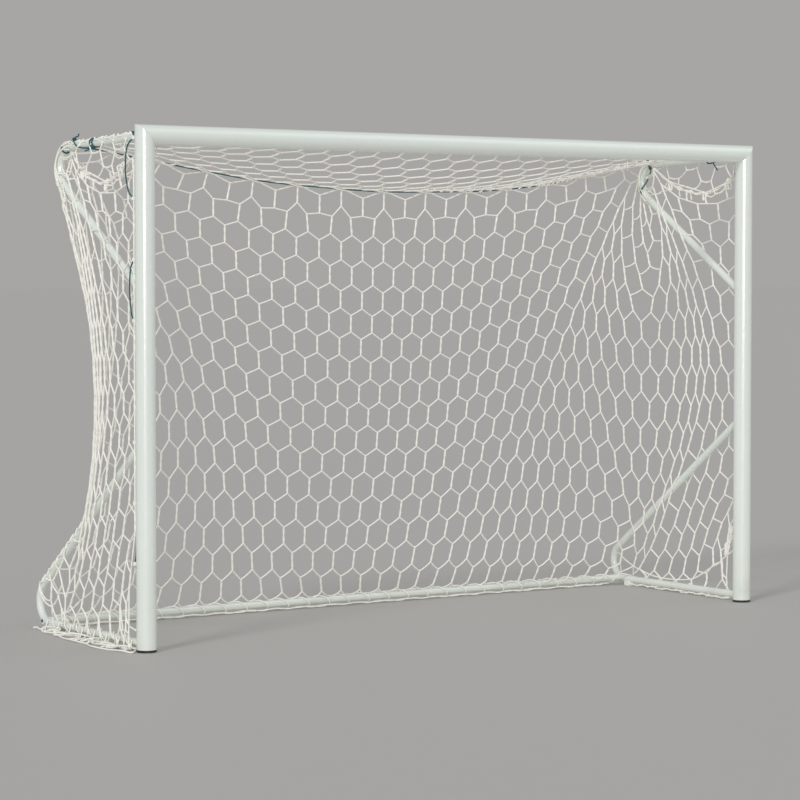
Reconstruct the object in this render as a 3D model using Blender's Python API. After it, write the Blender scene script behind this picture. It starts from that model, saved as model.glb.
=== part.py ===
"""Futsal goal: a mitred frame of round tube on two bent side brackets, with a net of hexagonal mesh.

Metres, +Z up. The mouth faces -Y and X runs along the crossbar. The origin is on the floor, midway
between the goal's two sides and midway between its front and its rear.
"""

import math

import bmesh
import bpy
from mathutils import Matrix, Vector

# Mouth and depth, which the laws of futsal fix
MOUTH_WIDTH = 3.00
MOUTH_HEIGHT = 2.00
GROUND_DEPTH = 1.00
TOP_DEPTH = 0.79

# Posts and crossbar
POST_DIAMETER = 0.080
POST_WALL = 0.003
FOOT_THICKNESS = 0.010
FOOT_SPIGOT_LENGTH = 0.025
FOOT_SPIGOT_WALL = 0.005
INSERT_LEG = 0.160
INSERT_WALL = 0.006
INSERT_SCREW_OFFSET = 0.100

# Bent brackets at the sides
BRACKET_DIAMETER = 0.032
BRACKET_WALL = 0.002
BEND_RADIUS = 0.085
ARM_BELOW_CROSSBAR_AXIS = 0.003
ARM_DROP = 0.019
UPPER_DIAGONAL_HEIGHT = 1.403
LOWER_DIAGONAL_HEIGHT = 0.848
FLOOR_RUN_CLEARANCE = 0.014

# Rear ground bar, its fastening and the glides
BAR_DIAMETER = 0.030
BAR_WALL = 0.002
BAR_BEHIND_BEND_CENTRE = 0.025
BAR_PLUG_LENGTH = 0.040
BOLT_SHANK_DIAMETER = 0.008
BOLT_HEAD_DIAMETER = 0.014
BOLT_HEAD_HEIGHT = 0.005
BOLT_RIM_SHARE = 0.6
BOLT_DEPTH_IN_PLUG = 0.030
WASHER_DIAMETER = 0.030
WASHER_THICKNESS = 0.0025
GLIDE_LENGTH = 0.042
GLIDE_WIDTH = 0.036
GLIDE_HEIGHT = 0.024
GLIDE_BEFORE_BEND = 0.017
GLIDE_CORNER = 0.004

# Screws of the corner inserts
SCREW_SHANK_DIAMETER = 0.008
SCREW_LENGTH = 0.012
SCREW_HEAD_DIAMETER = 0.014
SCREW_HEAD_HEIGHT = 0.0045
SCREW_RIM_SHARE = 0.5
HEAD_TOP_SHARE = 0.6

# Net hooks and edge ropes
POST_HOOKS = 8
CROSSBAR_HOOKS = 11
POST_HOOK_PITCH = 0.240
CROSSBAR_HOOK_PITCH = 0.270
TOP_HOOK_BELOW_CROSSBAR_AXIS = 0.010
POST_HOOK_ANGLE = math.radians(45)
CROSSBAR_HOOK_ANGLE = math.radians(30)
HOOK_LENGTH = 0.014
HOOK_BASE = 0.003
HOOK_ARM = 0.003
HOOK_LIP = 0.0025
HOOK_PAD_OVERHANG = 0.004
EDGE_ROPE_DIAMETER = 0.006
EDGE_ROPE_OVERHANG = 0.020

# Support rope between the upper brackets: its drop at equal steps from the left one to the right one
SUPPORT_ROPE_DIAMETER = 0.006
SUPPORT_ROPE_ABOVE_ARM = 0.006
SUPPORT_ROPE_BEHIND_BEND_CENTRE = 0.011
SUPPORT_ROPE_DROPS = (0.0, 0.042, 0.088, 0.128, 0.149, 0.162, 0.158, 0.146, 0.113, 0.055, 0.0)
SUPPORT_ROPE_STEPS = 44

# Net: cord, meshes of each panel, and how far the panels hang out of their planes
NET_CORD = 0.005
NET_ROPE_GAP = 0.0012
BACK_COLUMNS = 14
BACK_ROWS = 10
TOP_ROWS = 3
SIDE_COLUMNS = 4
SIDE_ROWS = 10
ZIGZAG = 1 / 6
TOP_SAG = 0.030
BACK_BOW = 0.050
SIDE_NET_OUTSIDE_BRACKET = 0.0135
SIDE_NET_TOP_REACH = 0.735
SIDE_NET_GROUND_REACH = 0.925
SIDE_NET_FLOOR_GAP = 0.012
BACK_NET_INSIDE_BRACKET = 0.0055
SIDE_NET_FLARE_SHARE = 1 / 3
CORNER_PULL_INWARD = 0.135
CORNER_PULL_FORWARD = 0.177
CORNER_PULL_FOOT = 0.30
CORNER_PULL_LOW = 0.75
CORNER_PULL_HEAD = 1.85
CORNER_NET_GAP = 0.001
HUG_POWER = 6
BACK_CORNER_POWER = 4

# Seating gap between touching pieces, and how finely round shapes are cut
GAP = 0.0003
POST_SIDES = 48
BRACKET_SIDES = 16
BEND_STEPS = 12
SMALL_SIDES = 12
WASHER_SIDES = 24
SHARP_ANGLE = math.radians(35)

# Places that follow from the sizes
POST_RADIUS = POST_DIAMETER / 2
BRACKET_RADIUS = BRACKET_DIAMETER / 2
BAR_RADIUS = BAR_DIAMETER / 2
POST_X = MOUTH_WIDTH / 2 + POST_RADIUS
POST_Y = POST_RADIUS - GROUND_DEPTH / 2
CROSSBAR_Z = MOUTH_HEIGHT + POST_RADIUS
ARM_Z = CROSSBAR_Z - ARM_BELOW_CROSSBAR_AXIS
FLOOR_RUN_Z = FLOOR_RUN_CLEARANCE + BRACKET_RADIUS
HOOK_SLOT_RADIUS = EDGE_ROPE_DIAMETER / 2 + GAP
ROPE_OFFSET = POST_RADIUS + GAP + HOOK_BASE + HOOK_SLOT_RADIUS
NET_BESIDE_ROPE = EDGE_ROPE_DIAMETER / 2 + GAP + NET_CORD / 2


def clear_scene():
    for item in list(bpy.context.scene.objects):
        bpy.data.objects.remove(item, do_unlink=True)


def make_material(name, colour, roughness, metallic=0.0):
    made = bpy.data.materials.new(name)
    made.use_nodes = True
    shader = made.node_tree.nodes["Principled BSDF"]
    shader.inputs["Base Color"].default_value = (*colour, 1.0)
    shader.inputs["Roughness"].default_value = roughness
    shader.inputs["Metallic"].default_value = metallic
    made.diffuse_color = (*colour, 1.0)
    return made


def add_object(name, bm, finish):
    """A named object from a bmesh, shaded smooth except at its sharp edges."""
    bmesh.ops.recalc_face_normals(bm, faces=bm.faces)
    mesh = bpy.data.meshes.new(name)
    bm.to_mesh(mesh)
    bm.free()
    mesh.shade_smooth()
    mesh.set_sharp_from_angle(angle=SHARP_ANGLE)
    if finish:
        mesh.materials.append(finish)
    made = bpy.data.objects.new(name, mesh)
    bpy.context.scene.collection.objects.link(made)
    return made


def hide_cutter(cutter):
    cutter.hide_render = True
    cutter.display_type = "WIRE"
    return cutter


def cut(target, *cutters):
    for cutter in cutters:
        boolean = target.modifiers.new("Cut by " + cutter.name, "BOOLEAN")
        boolean.operation = "DIFFERENCE"
        boolean.solver = "EXACT"
        boolean.object = cutter


def ring_on_plane(centre, along, plane_normal, across, radius, sides):
    """Points of a tube of this radius where it meets a plane through its axis at centre."""
    upward = along.cross(across).normalized()
    points = []
    for step in range(sides):
        angle = math.tau * step / sides
        offset = radius * (math.cos(angle) * across + math.sin(angle) * upward)
        points.append(centre + offset - along * (offset.dot(plane_normal) / along.dot(plane_normal)))
    return points


def sweep_rings(path, across, radius, sides, start_plane, end_plane):
    rings = []
    for index, centre in enumerate(path):
        before = (centre - path[index - 1]).normalized() if index else None
        after = (path[index + 1] - centre).normalized() if index + 1 < len(path) else None
        along = before or after
        plane = (before + after).normalized() if before and after else along
        if not index and start_plane:
            plane = start_plane
        if after is None and end_plane:
            plane = end_plane
        rings.append(ring_on_plane(centre, along, plane, across, radius, sides))
    return rings


def add_tube(name, finish, path, across, radius, wall, sides, start_plane=None, end_plane=None):
    """A tube along a flat path, mitred at each of its corners. A wall of 0 makes it solid.

    across is the unit normal of the plane that the path lies in.
    """
    bm = bmesh.new()
    outer = [
        [bm.verts.new(point) for point in ring]
        for ring in sweep_rings(path, across, radius, sides, start_plane, end_plane)
    ]
    skins = [outer]
    if wall:
        skins.append(
            [
                [bm.verts.new(point) for point in ring]
                for ring in sweep_rings(path, across, radius - wall, sides, start_plane, end_plane)
            ]
        )
    for skin in skins:
        for first, second in zip(skin, skin[1:]):
            for step in range(sides):
                following = (step + 1) % sides
                bm.faces.new((first[step], first[following], second[following], second[step]))
    for end in (0, -1):
        if not wall:
            bm.faces.new(outer[end])
            continue
        for step in range(sides):
            following = (step + 1) % sides
            inner = skins[1]
            bm.faces.new(
                (outer[end][step], outer[end][following], inner[end][following], inner[end][step])
            )
    return add_object(name, bm, finish)


def add_turned(name, finish, profile, place, axis, sides):
    """A turned piece: profile is a list of (distance along the axis, radius)."""
    bm = bmesh.new()
    points = [bm.verts.new((radius, 0.0, along)) for along, radius in profile]
    edges = [bm.edges.new(pair) for pair in zip(points, points[1:])]
    closed = profile[0][1] > 0 and profile[-1][1] > 0
    if closed:
        edges.append(bm.edges.new((points[-1], points[0])))
    bmesh.ops.spin(
        bm, geom=points + edges, cent=(0, 0, 0), axis=(0, 0, 1), angle=math.tau, steps=sides
    )
    bmesh.ops.remove_doubles(bm, verts=bm.verts, dist=1e-6)
    turned = axis.to_track_quat("Z", "Y").to_matrix().to_4x4()
    bmesh.ops.transform(bm, matrix=Matrix.Translation(place) @ turned, verts=bm.verts)
    return add_object(name, bm, finish)


def arc(centre, radius, start, end, steps):
    """Points in the YZ plane on an arc from one angle to another."""
    points = []
    for step in range(steps + 1):
        angle = start + (end - start) * step / steps
        points.append((centre[0] + radius * math.cos(angle), centre[1] + radius * math.sin(angle)))
    return points


def smooth_step(share):
    share = min(max(share, 0.0), 1.0)
    return share * share * (3 - 2 * share)


def mix(first, second, share):
    return first + (second - first) * share


# Side brackets. Each is drawn in the YZ plane, with Y measured from the posts' axis.


class Bracket:
    """A straight run that leaves the post, a bend, and a diagonal back to the post."""

    def __init__(self, reach, run_start, run_drop, diagonal_height, upper):
        """run_start is the run's height at the post, and run_drop its fall up to the bend."""
        self.turn = 1 if upper else -1
        self.centre_y = reach - BRACKET_RADIUS - BEND_RADIUS
        slope = math.atan2(run_drop, self.centre_y)
        self.run_start = run_start
        self.run_angle = math.pi / 2 - slope
        rise = BEND_RADIUS / math.cos(slope)
        self.centre_z = run_start - run_drop - self.turn * rise
        self.diagonal_height = diagonal_height
        height = (self.centre_z - diagonal_height) * self.turn
        distance = math.hypot(self.centre_y, height)
        lean = math.atan2(height, self.centre_y) - math.asin(BEND_RADIUS / distance)
        self.slope = math.tan(lean) * self.turn
        self.diagonal_angle = lean - math.pi / 2

    def path(self, x):
        bend = arc((self.centre_y, self.centre_z), BEND_RADIUS, self.turn * self.run_angle,
                   self.turn * self.diagonal_angle, BEND_STEPS)
        corners = [(0.0, self.run_start), *bend, (0.0, self.diagonal_height)]
        return [Vector((x, POST_Y + y, z)) for y, z in corners]

    def bend_height(self, beyond_centre):
        """Height of the tube's axis on the bend's outer side, this far behind the bend's centre."""
        return self.centre_z + self.turn * math.sqrt(BEND_RADIUS**2 - beyond_centre**2)


UPPER_BRACKET = Bracket(TOP_DEPTH - POST_RADIUS, ARM_Z, ARM_DROP, UPPER_DIAGONAL_HEIGHT, True)
LOWER_BRACKET = Bracket(GROUND_DEPTH - POST_RADIUS, FLOOR_RUN_Z, 0.0, LOWER_DIAGONAL_HEIGHT, False)
BAR_Y = POST_Y + LOWER_BRACKET.centre_y + BAR_BEHIND_BEND_CENTRE
BAR_Z = LOWER_BRACKET.bend_height(BAR_BEHIND_BEND_CENTRE)
SUPPORT_ROPE_Y = POST_Y + UPPER_BRACKET.centre_y + SUPPORT_ROPE_BEHIND_BEND_CENTRE
SUPPORT_ROPE_END_Z = (
    UPPER_BRACKET.bend_height(SUPPORT_ROPE_BEHIND_BEND_CENTRE) + SUPPORT_ROPE_ABOVE_ARM
)


def hook_direction(side):
    """Outward direction of a post's hooks, and the direction in which their slots open."""
    out = Vector((side * math.sin(POST_HOOK_ANGLE), math.cos(POST_HOOK_ANGLE), 0))
    opening = Vector((-side * math.cos(POST_HOOK_ANGLE), math.sin(POST_HOOK_ANGLE), 0))
    return out, opening


def crossbar_hook_direction():
    out = Vector((0, math.cos(CROSSBAR_HOOK_ANGLE), -math.sin(CROSSBAR_HOOK_ANGLE)))
    opening = Vector((0, math.sin(CROSSBAR_HOOK_ANGLE), math.cos(CROSSBAR_HOOK_ANGLE)))
    return out, opening


def add_frame(finish):
    """Posts and crossbar, mitred at the top corners, with their cutters for what meets them."""
    mitre_gap = GAP / 2 * math.sqrt(2)
    x_axis, y_axis, z_axis = Vector((1, 0, 0)), Vector((0, 1, 0)), Vector((0, 0, 1))
    bar_ends = [Vector((side * (POST_X - mitre_gap), POST_Y, CROSSBAR_Z)) for side in (-1, 1)]
    left_mitre, right_mitre = Vector((1, 0, 1)).normalized(), Vector((-1, 0, 1)).normalized()
    crossbar = add_tube("crossbar", finish, bar_ends, y_axis, POST_RADIUS, POST_WALL, POST_SIDES,
                        left_mitre, right_mitre)
    crossbar_cutter = hide_cutter(
        add_tube("crossbar_cutter", None,
                 [Vector((side * POST_X, POST_Y, CROSSBAR_Z)) for side in (-1, 1)],
                 y_axis, POST_RADIUS + GAP, 0, POST_SIDES, left_mitre, right_mitre)
    )
    posts, cutters = {}, {}
    for side, label, mitre in ((-1, "left", left_mitre), (1, "right", right_mitre)):
        foot = Vector((side * POST_X, POST_Y, FOOT_THICKNESS + GAP))
        head = Vector((side * POST_X, POST_Y, CROSSBAR_Z))
        posts[side] = add_tube(label + "_post", finish, [foot, head - mitre_gap * z_axis], x_axis,
                               POST_RADIUS, POST_WALL, POST_SIDES, None, mitre)
        cutters[side] = hide_cutter(
            add_tube(label + "_post_cutter", None,
                     [foot - FOOT_THICKNESS * z_axis, head + GAP * z_axis], x_axis,
                     POST_RADIUS + GAP, 0, POST_SIDES, None, mitre)
        )
    return crossbar, posts, crossbar_cutter, cutters


def add_corners(crossbar, posts, metal, steel):
    """The elbow inside each mitre, and the two screws that hold it from behind."""
    behind = Vector((0, 1, 0))
    surface = Vector((0, POST_Y + POST_RADIUS, 0))
    radius = POST_RADIUS - POST_WALL - GAP
    shank, head = SCREW_SHANK_DIAMETER / 2, SCREW_HEAD_DIAMETER / 2
    screw_profile = [
        (-SCREW_LENGTH, 0.0),
        (-SCREW_LENGTH, shank),
        (GAP, shank),
        (GAP, head),
        (SCREW_HEAD_HEIGHT * SCREW_RIM_SHARE, head),
        (SCREW_HEAD_HEIGHT, head * HEAD_TOP_SHARE),
        (SCREW_HEAD_HEIGHT, 0.0),
    ]
    for side, label in ((-1, "left"), (1, "right")):
        corner = Vector((side * POST_X, POST_Y, CROSSBAR_Z))
        legs = [corner - Vector((0, 0, INSERT_LEG)), corner, corner - Vector((side * INSERT_LEG, 0, 0))]
        insert = add_tube(label + "_corner_insert", metal, legs, behind, radius, INSERT_WALL,
                          POST_SIDES // 2)
        down = corner - Vector((0, 0, INSERT_SCREW_OFFSET))
        inward = corner - Vector((side * INSERT_SCREW_OFFSET, 0, 0))
        for name, place, tube in (("post_screw", down, posts[side]), ("bar_screw", inward, crossbar)):
            spot = Vector((place.x, surface.y, place.z))
            add_turned(f"{label}_{name}", steel, screw_profile, spot, behind, SMALL_SIDES)
            hole = hide_cutter(
                add_turned(f"{label}_{name}_cutter", None,
                           [(-2 * SCREW_LENGTH, 0.0), (-2 * SCREW_LENGTH, shank + GAP),
                            (SCREW_LENGTH, shank + GAP), (SCREW_LENGTH, 0.0)],
                           spot, behind, SMALL_SIDES)
            )
            cut(tube, hole)
            cut(insert, hole)


def add_post_feet(rubber):
    """A black cap under each post, with a hollow spigot up inside the tube."""
    spigot = POST_RADIUS - POST_WALL - GAP
    edge = FOOT_THICKNESS / 4
    top = FOOT_THICKNESS + FOOT_SPIGOT_LENGTH
    profile = [
        (0.0, 0.0),
        (0.0, POST_RADIUS - edge),
        (edge, POST_RADIUS),
        (FOOT_THICKNESS, POST_RADIUS),
        (FOOT_THICKNESS, spigot),
        (top, spigot),
        (top, spigot - FOOT_SPIGOT_WALL),
        (FOOT_THICKNESS, spigot - FOOT_SPIGOT_WALL),
        (FOOT_THICKNESS, 0.0),
    ]
    for side, label in ((-1, "left"), (1, "right")):
        add_turned(label + "_post_foot", rubber, profile, Vector((side * POST_X, POST_Y, 0)),
                   Vector((0, 0, 1)), POST_SIDES // 2)


def add_brackets(finish, crossbar_cutter, post_cutters):
    """Two bent tubes a side, coped where they meet the post and the mitred corner."""
    x_axis = Vector((1, 0, 0))
    lower, cutters = {}, {}
    for side, label in ((-1, "left"), (1, "right")):
        upper = add_tube(label + "_upper_bracket", finish, UPPER_BRACKET.path(side * POST_X), x_axis,
                         BRACKET_RADIUS, BRACKET_WALL, BRACKET_SIDES)
        cut(upper, post_cutters[side], crossbar_cutter)
        path = LOWER_BRACKET.path(side * POST_X)
        lower[side] = add_tube(label + "_lower_bracket", finish, path, x_axis,
                               BRACKET_RADIUS, BRACKET_WALL, BRACKET_SIDES)
        cut(lower[side], post_cutters[side])
        cutters[side] = hide_cutter(
            add_tube(label + "_lower_bracket_cutter", None, path, x_axis,
                     BRACKET_RADIUS + GAP, 0, BRACKET_SIDES)
        )
    return lower, cutters


def add_ground_bar(finish, plastic, steel, lower_brackets, bracket_cutters):
    """The rear bar between the lower brackets, bolted through them into a plug in each end."""
    across = Vector((0, 0, 1))
    bar = add_tube("rear_ground_bar", finish,
                   [Vector((side * POST_X, BAR_Y, BAR_Z)) for side in (-1, 1)],
                   across, BAR_RADIUS, BAR_WALL, BRACKET_SIDES)
    shank, head = BOLT_SHANK_DIAMETER / 2, BOLT_HEAD_DIAMETER / 2
    plug_start = BRACKET_RADIUS + GAP
    plug_radius = BAR_RADIUS - BAR_WALL - GAP
    washer_start = BRACKET_RADIUS + GAP
    head_start = washer_start + WASHER_THICKNESS + GAP
    bolt_tip = -(plug_start + BOLT_DEPTH_IN_PLUG)
    plug_end = plug_start + BAR_PLUG_LENGTH
    for side, label in ((-1, "left"), (1, "right")):
        outward = Vector((side, 0, 0))
        centre = Vector((side * POST_X, BAR_Y, BAR_Z))
        cut(bar, bracket_cutters[side])
        add_turned(label + "_bar_plug", plastic,
                   [(-plug_end, shank + GAP), (-plug_end, plug_radius),
                    (-plug_start, plug_radius), (-plug_start, shank + GAP)],
                   centre, outward, SMALL_SIDES)
        add_turned(label + "_bar_washer", plastic,
                   [(washer_start, shank + GAP), (washer_start, WASHER_DIAMETER / 2),
                    (washer_start + WASHER_THICKNESS, WASHER_DIAMETER / 2 - WASHER_THICKNESS / 2),
                    (washer_start + WASHER_THICKNESS, shank + GAP)],
                   centre, outward, WASHER_SIDES)
        add_turned(label + "_bar_bolt", steel,
                   [(bolt_tip, 0.0), (bolt_tip, shank), (head_start, shank), (head_start, head),
                    (head_start + BOLT_HEAD_HEIGHT * BOLT_RIM_SHARE, head),
                    (head_start + BOLT_HEAD_HEIGHT, head * HEAD_TOP_SHARE),
                    (head_start + BOLT_HEAD_HEIGHT, 0.0)],
                   centre, outward, SMALL_SIDES)
        hole = hide_cutter(
            add_turned(label + "_bolt_hole_cutter", None,
                       [(-BRACKET_DIAMETER, 0.0), (-BRACKET_DIAMETER, shank + GAP),
                        (BRACKET_DIAMETER, shank + GAP), (BRACKET_DIAMETER, 0.0)],
                       centre, outward, SMALL_SIDES)
        )
        cut(lower_brackets[side], hole)


def add_rear_glides(plastic, bracket_cutters):
    """A block with a saddle under the end of each floor run, which lifts the tube off the floor."""
    rear = POST_Y + LOWER_BRACKET.centre_y - GLIDE_BEFORE_BEND
    for side, label in ((-1, "left"), (1, "right")):
        bm = bmesh.new()
        bmesh.ops.create_cube(bm, size=1.0)
        bmesh.ops.scale(bm, vec=(GLIDE_WIDTH, GLIDE_LENGTH, GLIDE_HEIGHT), verts=bm.verts)
        upright = [edge for edge in bm.edges if abs(edge.verts[0].co.z - edge.verts[1].co.z) > GLIDE_CORNER]
        bmesh.ops.bevel(bm, geom=upright, offset=GLIDE_CORNER, segments=3, profile=0.5, affect="EDGES")
        place = Vector((side * POST_X, rear - GLIDE_LENGTH / 2, GLIDE_HEIGHT / 2))
        bmesh.ops.translate(bm, vec=place, verts=bm.verts)
        cut(add_object(label + "_rear_glide", bm, plastic), bracket_cutters[side])


def hook_profile():
    """Outline of a hook as (towards its opening, outward from the tube's axis)."""
    base = POST_RADIUS + GAP
    slot_centre = base + HOOK_BASE + HOOK_SLOT_RADIUS
    outside = slot_centre + HOOK_SLOT_RADIUS + HOOK_ARM
    heel = -HOOK_SLOT_RADIUS - HOOK_ARM
    pad_end = HOOK_SLOT_RADIUS + HOOK_PAD_OVERHANG
    outline = [(heel, base), (pad_end, base), (pad_end, base + HOOK_BASE / 2)]
    outline += [(pad_end - HOOK_BASE / 2, base + HOOK_BASE), (0.0, base + HOOK_BASE)]
    for degrees in (225, 180, 135):
        angle = math.radians(degrees)
        across, up = HOOK_SLOT_RADIUS * math.cos(angle), HOOK_SLOT_RADIUS * math.sin(angle)
        outline.append((across, slot_centre + up))
    outline += [(0.0, slot_centre + HOOK_SLOT_RADIUS), (HOOK_LIP, slot_centre + HOOK_SLOT_RADIUS)]
    outline.append((HOOK_LIP, outside - HOOK_ARM / 3))
    outline.append((HOOK_LIP - HOOK_ARM / 3, outside))
    for degrees in (90, 135, 180):
        angle = math.radians(degrees)
        outline.append((heel + HOOK_ARM + HOOK_ARM * math.cos(angle),
                        outside - HOOK_ARM + HOOK_ARM * math.sin(angle)))
    return outline


def add_hook(name, plastic, on_axis, along, out, opening):
    bm = bmesh.new()
    start = on_axis - along * HOOK_LENGTH / 2
    outline = [bm.verts.new(start + t * opening + n * out) for t, n in hook_profile()]
    face = bm.faces.new(outline)
    extruded = bmesh.ops.extrude_face_region(bm, geom=[face])
    moved = [item for item in extruded["geom"] if isinstance(item, bmesh.types.BMVert)]
    bmesh.ops.translate(bm, vec=along * HOOK_LENGTH, verts=moved)
    add_object(name, bm, plastic)


def add_cord(name, finish, points, diameter):
    """A round cord through points, as a curve with filled ends."""
    curve = bpy.data.curves.new(name, "CURVE")
    curve.dimensions = "3D"
    curve.bevel_depth = diameter / 2
    curve.bevel_resolution = 2
    curve.use_fill_caps = True
    spline = curve.splines.new("POLY")
    spline.points.add(len(points) - 1)
    for target, point in zip(spline.points, points):
        target.co = (*point, 1.0)
    curve.materials.append(finish)
    made = bpy.data.objects.new(name, curve)
    bpy.context.scene.collection.objects.link(made)
    return made


def add_hooks_and_edge_ropes(plastic, rope):
    """Hooks down the outer rear of each post and behind the crossbar, with a rope through each row."""
    top = CROSSBAR_Z - TOP_HOOK_BELOW_CROSSBAR_AXIS
    bottom = top - (POST_HOOKS - 1) * POST_HOOK_PITCH
    for side, label in ((-1, "left"), (1, "right")):
        out, opening = hook_direction(side)
        axis = Vector((side * POST_X, POST_Y, 0))
        for index in range(POST_HOOKS):
            place = axis + Vector((0, 0, top - index * POST_HOOK_PITCH))
            add_hook(f"{label}_post_hook_{index + 1}", plastic, place, Vector((0, 0, 1)), out, opening)
        ends = [axis + ROPE_OFFSET * out + Vector((0, 0, z))
                for z in (top + EDGE_ROPE_OVERHANG, bottom - EDGE_ROPE_OVERHANG)]
        add_cord(label + "_edge_rope", rope, ends, EDGE_ROPE_DIAMETER)
    out, opening = crossbar_hook_direction()
    half_row = (CROSSBAR_HOOKS - 1) / 2 * CROSSBAR_HOOK_PITCH
    axis = Vector((0, POST_Y, CROSSBAR_Z))
    for index in range(CROSSBAR_HOOKS):
        place = axis + Vector((index * CROSSBAR_HOOK_PITCH - half_row, 0, 0))
        add_hook(f"crossbar_hook_{index + 1}", plastic, place, Vector((1, 0, 0)), out, opening)
    ends = [axis + ROPE_OFFSET * out + Vector((side * (half_row + EDGE_ROPE_OVERHANG), 0, 0))
            for side in (-1, 1)]
    add_cord("crossbar_edge_rope", rope, ends, EDGE_ROPE_DIAMETER)


def support_rope_half_span():
    return POST_X - BRACKET_RADIUS - GAP


def support_rope_height(x):
    """Height of the support rope at x, on a smooth curve through its listed drops."""
    drops = SUPPORT_ROPE_DROPS
    half = support_rope_half_span()
    place = min(max((x + half) / (2 * half), 0.0), 1.0) * (len(drops) - 1)
    index = min(int(place), len(drops) - 2)
    share = place - index
    before, after = drops[max(index - 1, 0)], drops[min(index + 2, len(drops) - 1)]
    first, second = drops[index], drops[index + 1]
    drop = 0.5 * (
        2 * first
        + (second - before) * share
        + (2 * before - 5 * first + 4 * second - after) * share**2
        + (3 * first - before - 3 * second + after) * share**3
    )
    return SUPPORT_ROPE_END_Z - drop


def add_support_rope(rope):
    half = support_rope_half_span()
    points = []
    for step in range(SUPPORT_ROPE_STEPS + 1):
        x = mix(-half, half, step / SUPPORT_ROPE_STEPS)
        points.append(Vector((x, SUPPORT_ROPE_Y, support_rope_height(x))))
    add_cord("top_support_rope", rope, points, SUPPORT_ROPE_DIAMETER)


# Net panels. Each is one sheet of hexagons whose edges the Wireframe modifier turns into cord.


def add_net_panel(name, finish, surface, columns, rows):
    """Hexagons in half-offset rows on surface(u, v), with u across and v down, both from 0 to 1."""
    bm = bmesh.new()
    knots = {}

    def knot(half_column, line):
        key = (half_column, line)
        if key not in knots:
            shift = 0.0
            if 0 < line < rows:
                joint_goes_down = (half_column + line) % 2 == 0
                shift = ZIGZAG if joint_goes_down else -ZIGZAG
            point = surface(half_column / (2 * columns), (line + shift) / rows)
            knots[key] = bm.verts.new(point)
        return knots[key]

    for row in range(rows):
        joints = range(row % 2, 2 * columns + 1, 2)
        edges = sorted({0, 2 * columns, *joints})
        for left, right in zip(edges, edges[1:]):
            upper = [knot(step, row) for step in range(left, right + 1)]
            lower = [knot(step, row + 1) for step in range(right, left - 1, -1)]
            bm.faces.new(upper + lower)
    panel = add_object(name, bm, finish)
    cords = panel.modifiers.new("Cords", "WIREFRAME")
    cords.thickness = NET_CORD
    cords.use_boundary = True
    cords.use_replace = True
    cords.use_even_offset = True
    return panel


def corner_pull(z):
    """How strongly the net is drawn in along the rear corner at height z, from 0 to 1."""
    rising = smooth_step((z - CORNER_PULL_FOOT) / (CORNER_PULL_LOW - CORNER_PULL_FOOT))
    falling = smooth_step((CORNER_PULL_HEAD - z) / (CORNER_PULL_HEAD - CORNER_PULL_LOW))
    return rising * falling


def corner_depth(z):
    """Distance of the net's rear corner behind the posts' axis at height z."""
    fall = (SUPPORT_ROPE_END_Z - z) / SUPPORT_ROPE_END_Z
    reach = mix(SIDE_NET_TOP_REACH, SIDE_NET_GROUND_REACH, fall) - POST_RADIUS
    return reach - CORNER_PULL_FORWARD * corner_pull(z)


def crossbar_net_line():
    out, opening = crossbar_hook_direction()
    return Vector((0, POST_Y, CROSSBAR_Z)) + ROPE_OFFSET * out + NET_BESIDE_ROPE * opening


def top_surface(u, v):
    front = crossbar_net_line()
    half = mix(POST_X - POST_RADIUS, POST_X - BRACKET_RADIUS - GAP - NET_CORD / 2, v)
    x = (2 * u - 1) * half
    rear_z = support_rope_height(x) + SUPPORT_ROPE_DIAMETER / 2 + NET_ROPE_GAP + NET_CORD / 2
    sag = TOP_SAG * math.sin(math.pi * v) * (1 - (2 * u - 1) ** 2)
    return Vector((x, mix(front.y, SUPPORT_ROPE_Y, v), mix(front.z, rear_z, v) - sag))


def back_surface(u, v):
    across = 2 * u - 1
    side_x = POST_X - BRACKET_RADIUS - BACK_NET_INSIDE_BRACKET
    side_net_x = POST_X + BRACKET_RADIUS + SIDE_NET_OUTSIDE_BRACKET
    pull = CORNER_PULL_INWARD - (side_net_x - side_x) + NET_CORD + CORNER_NET_GAP
    rope_side = SUPPORT_ROPE_DIAMETER / 2 + NET_ROPE_GAP + NET_CORD / 2
    beside_bar = (BAR_RADIUS + GAP + NET_CORD / 2) * math.sqrt(0.5)
    top_y, bottom_y = SUPPORT_ROPE_Y + rope_side, BAR_Y + beside_bar
    z = mix(support_rope_height(across * side_x), BAR_Z + beside_bar, v)
    middle_y = mix(top_y, bottom_y, v) - BACK_BOW * math.sin(math.pi * v)
    edge_y = POST_Y + corner_depth(z)
    edge_y = mix(edge_y, top_y, (1 - v) ** HUG_POWER)
    edge_y = mix(edge_y, bottom_y, v**HUG_POWER)
    x = across * (side_x - pull * corner_pull(z))
    return Vector((x, mix(middle_y, edge_y, across**BACK_CORNER_POWER), z))


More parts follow.
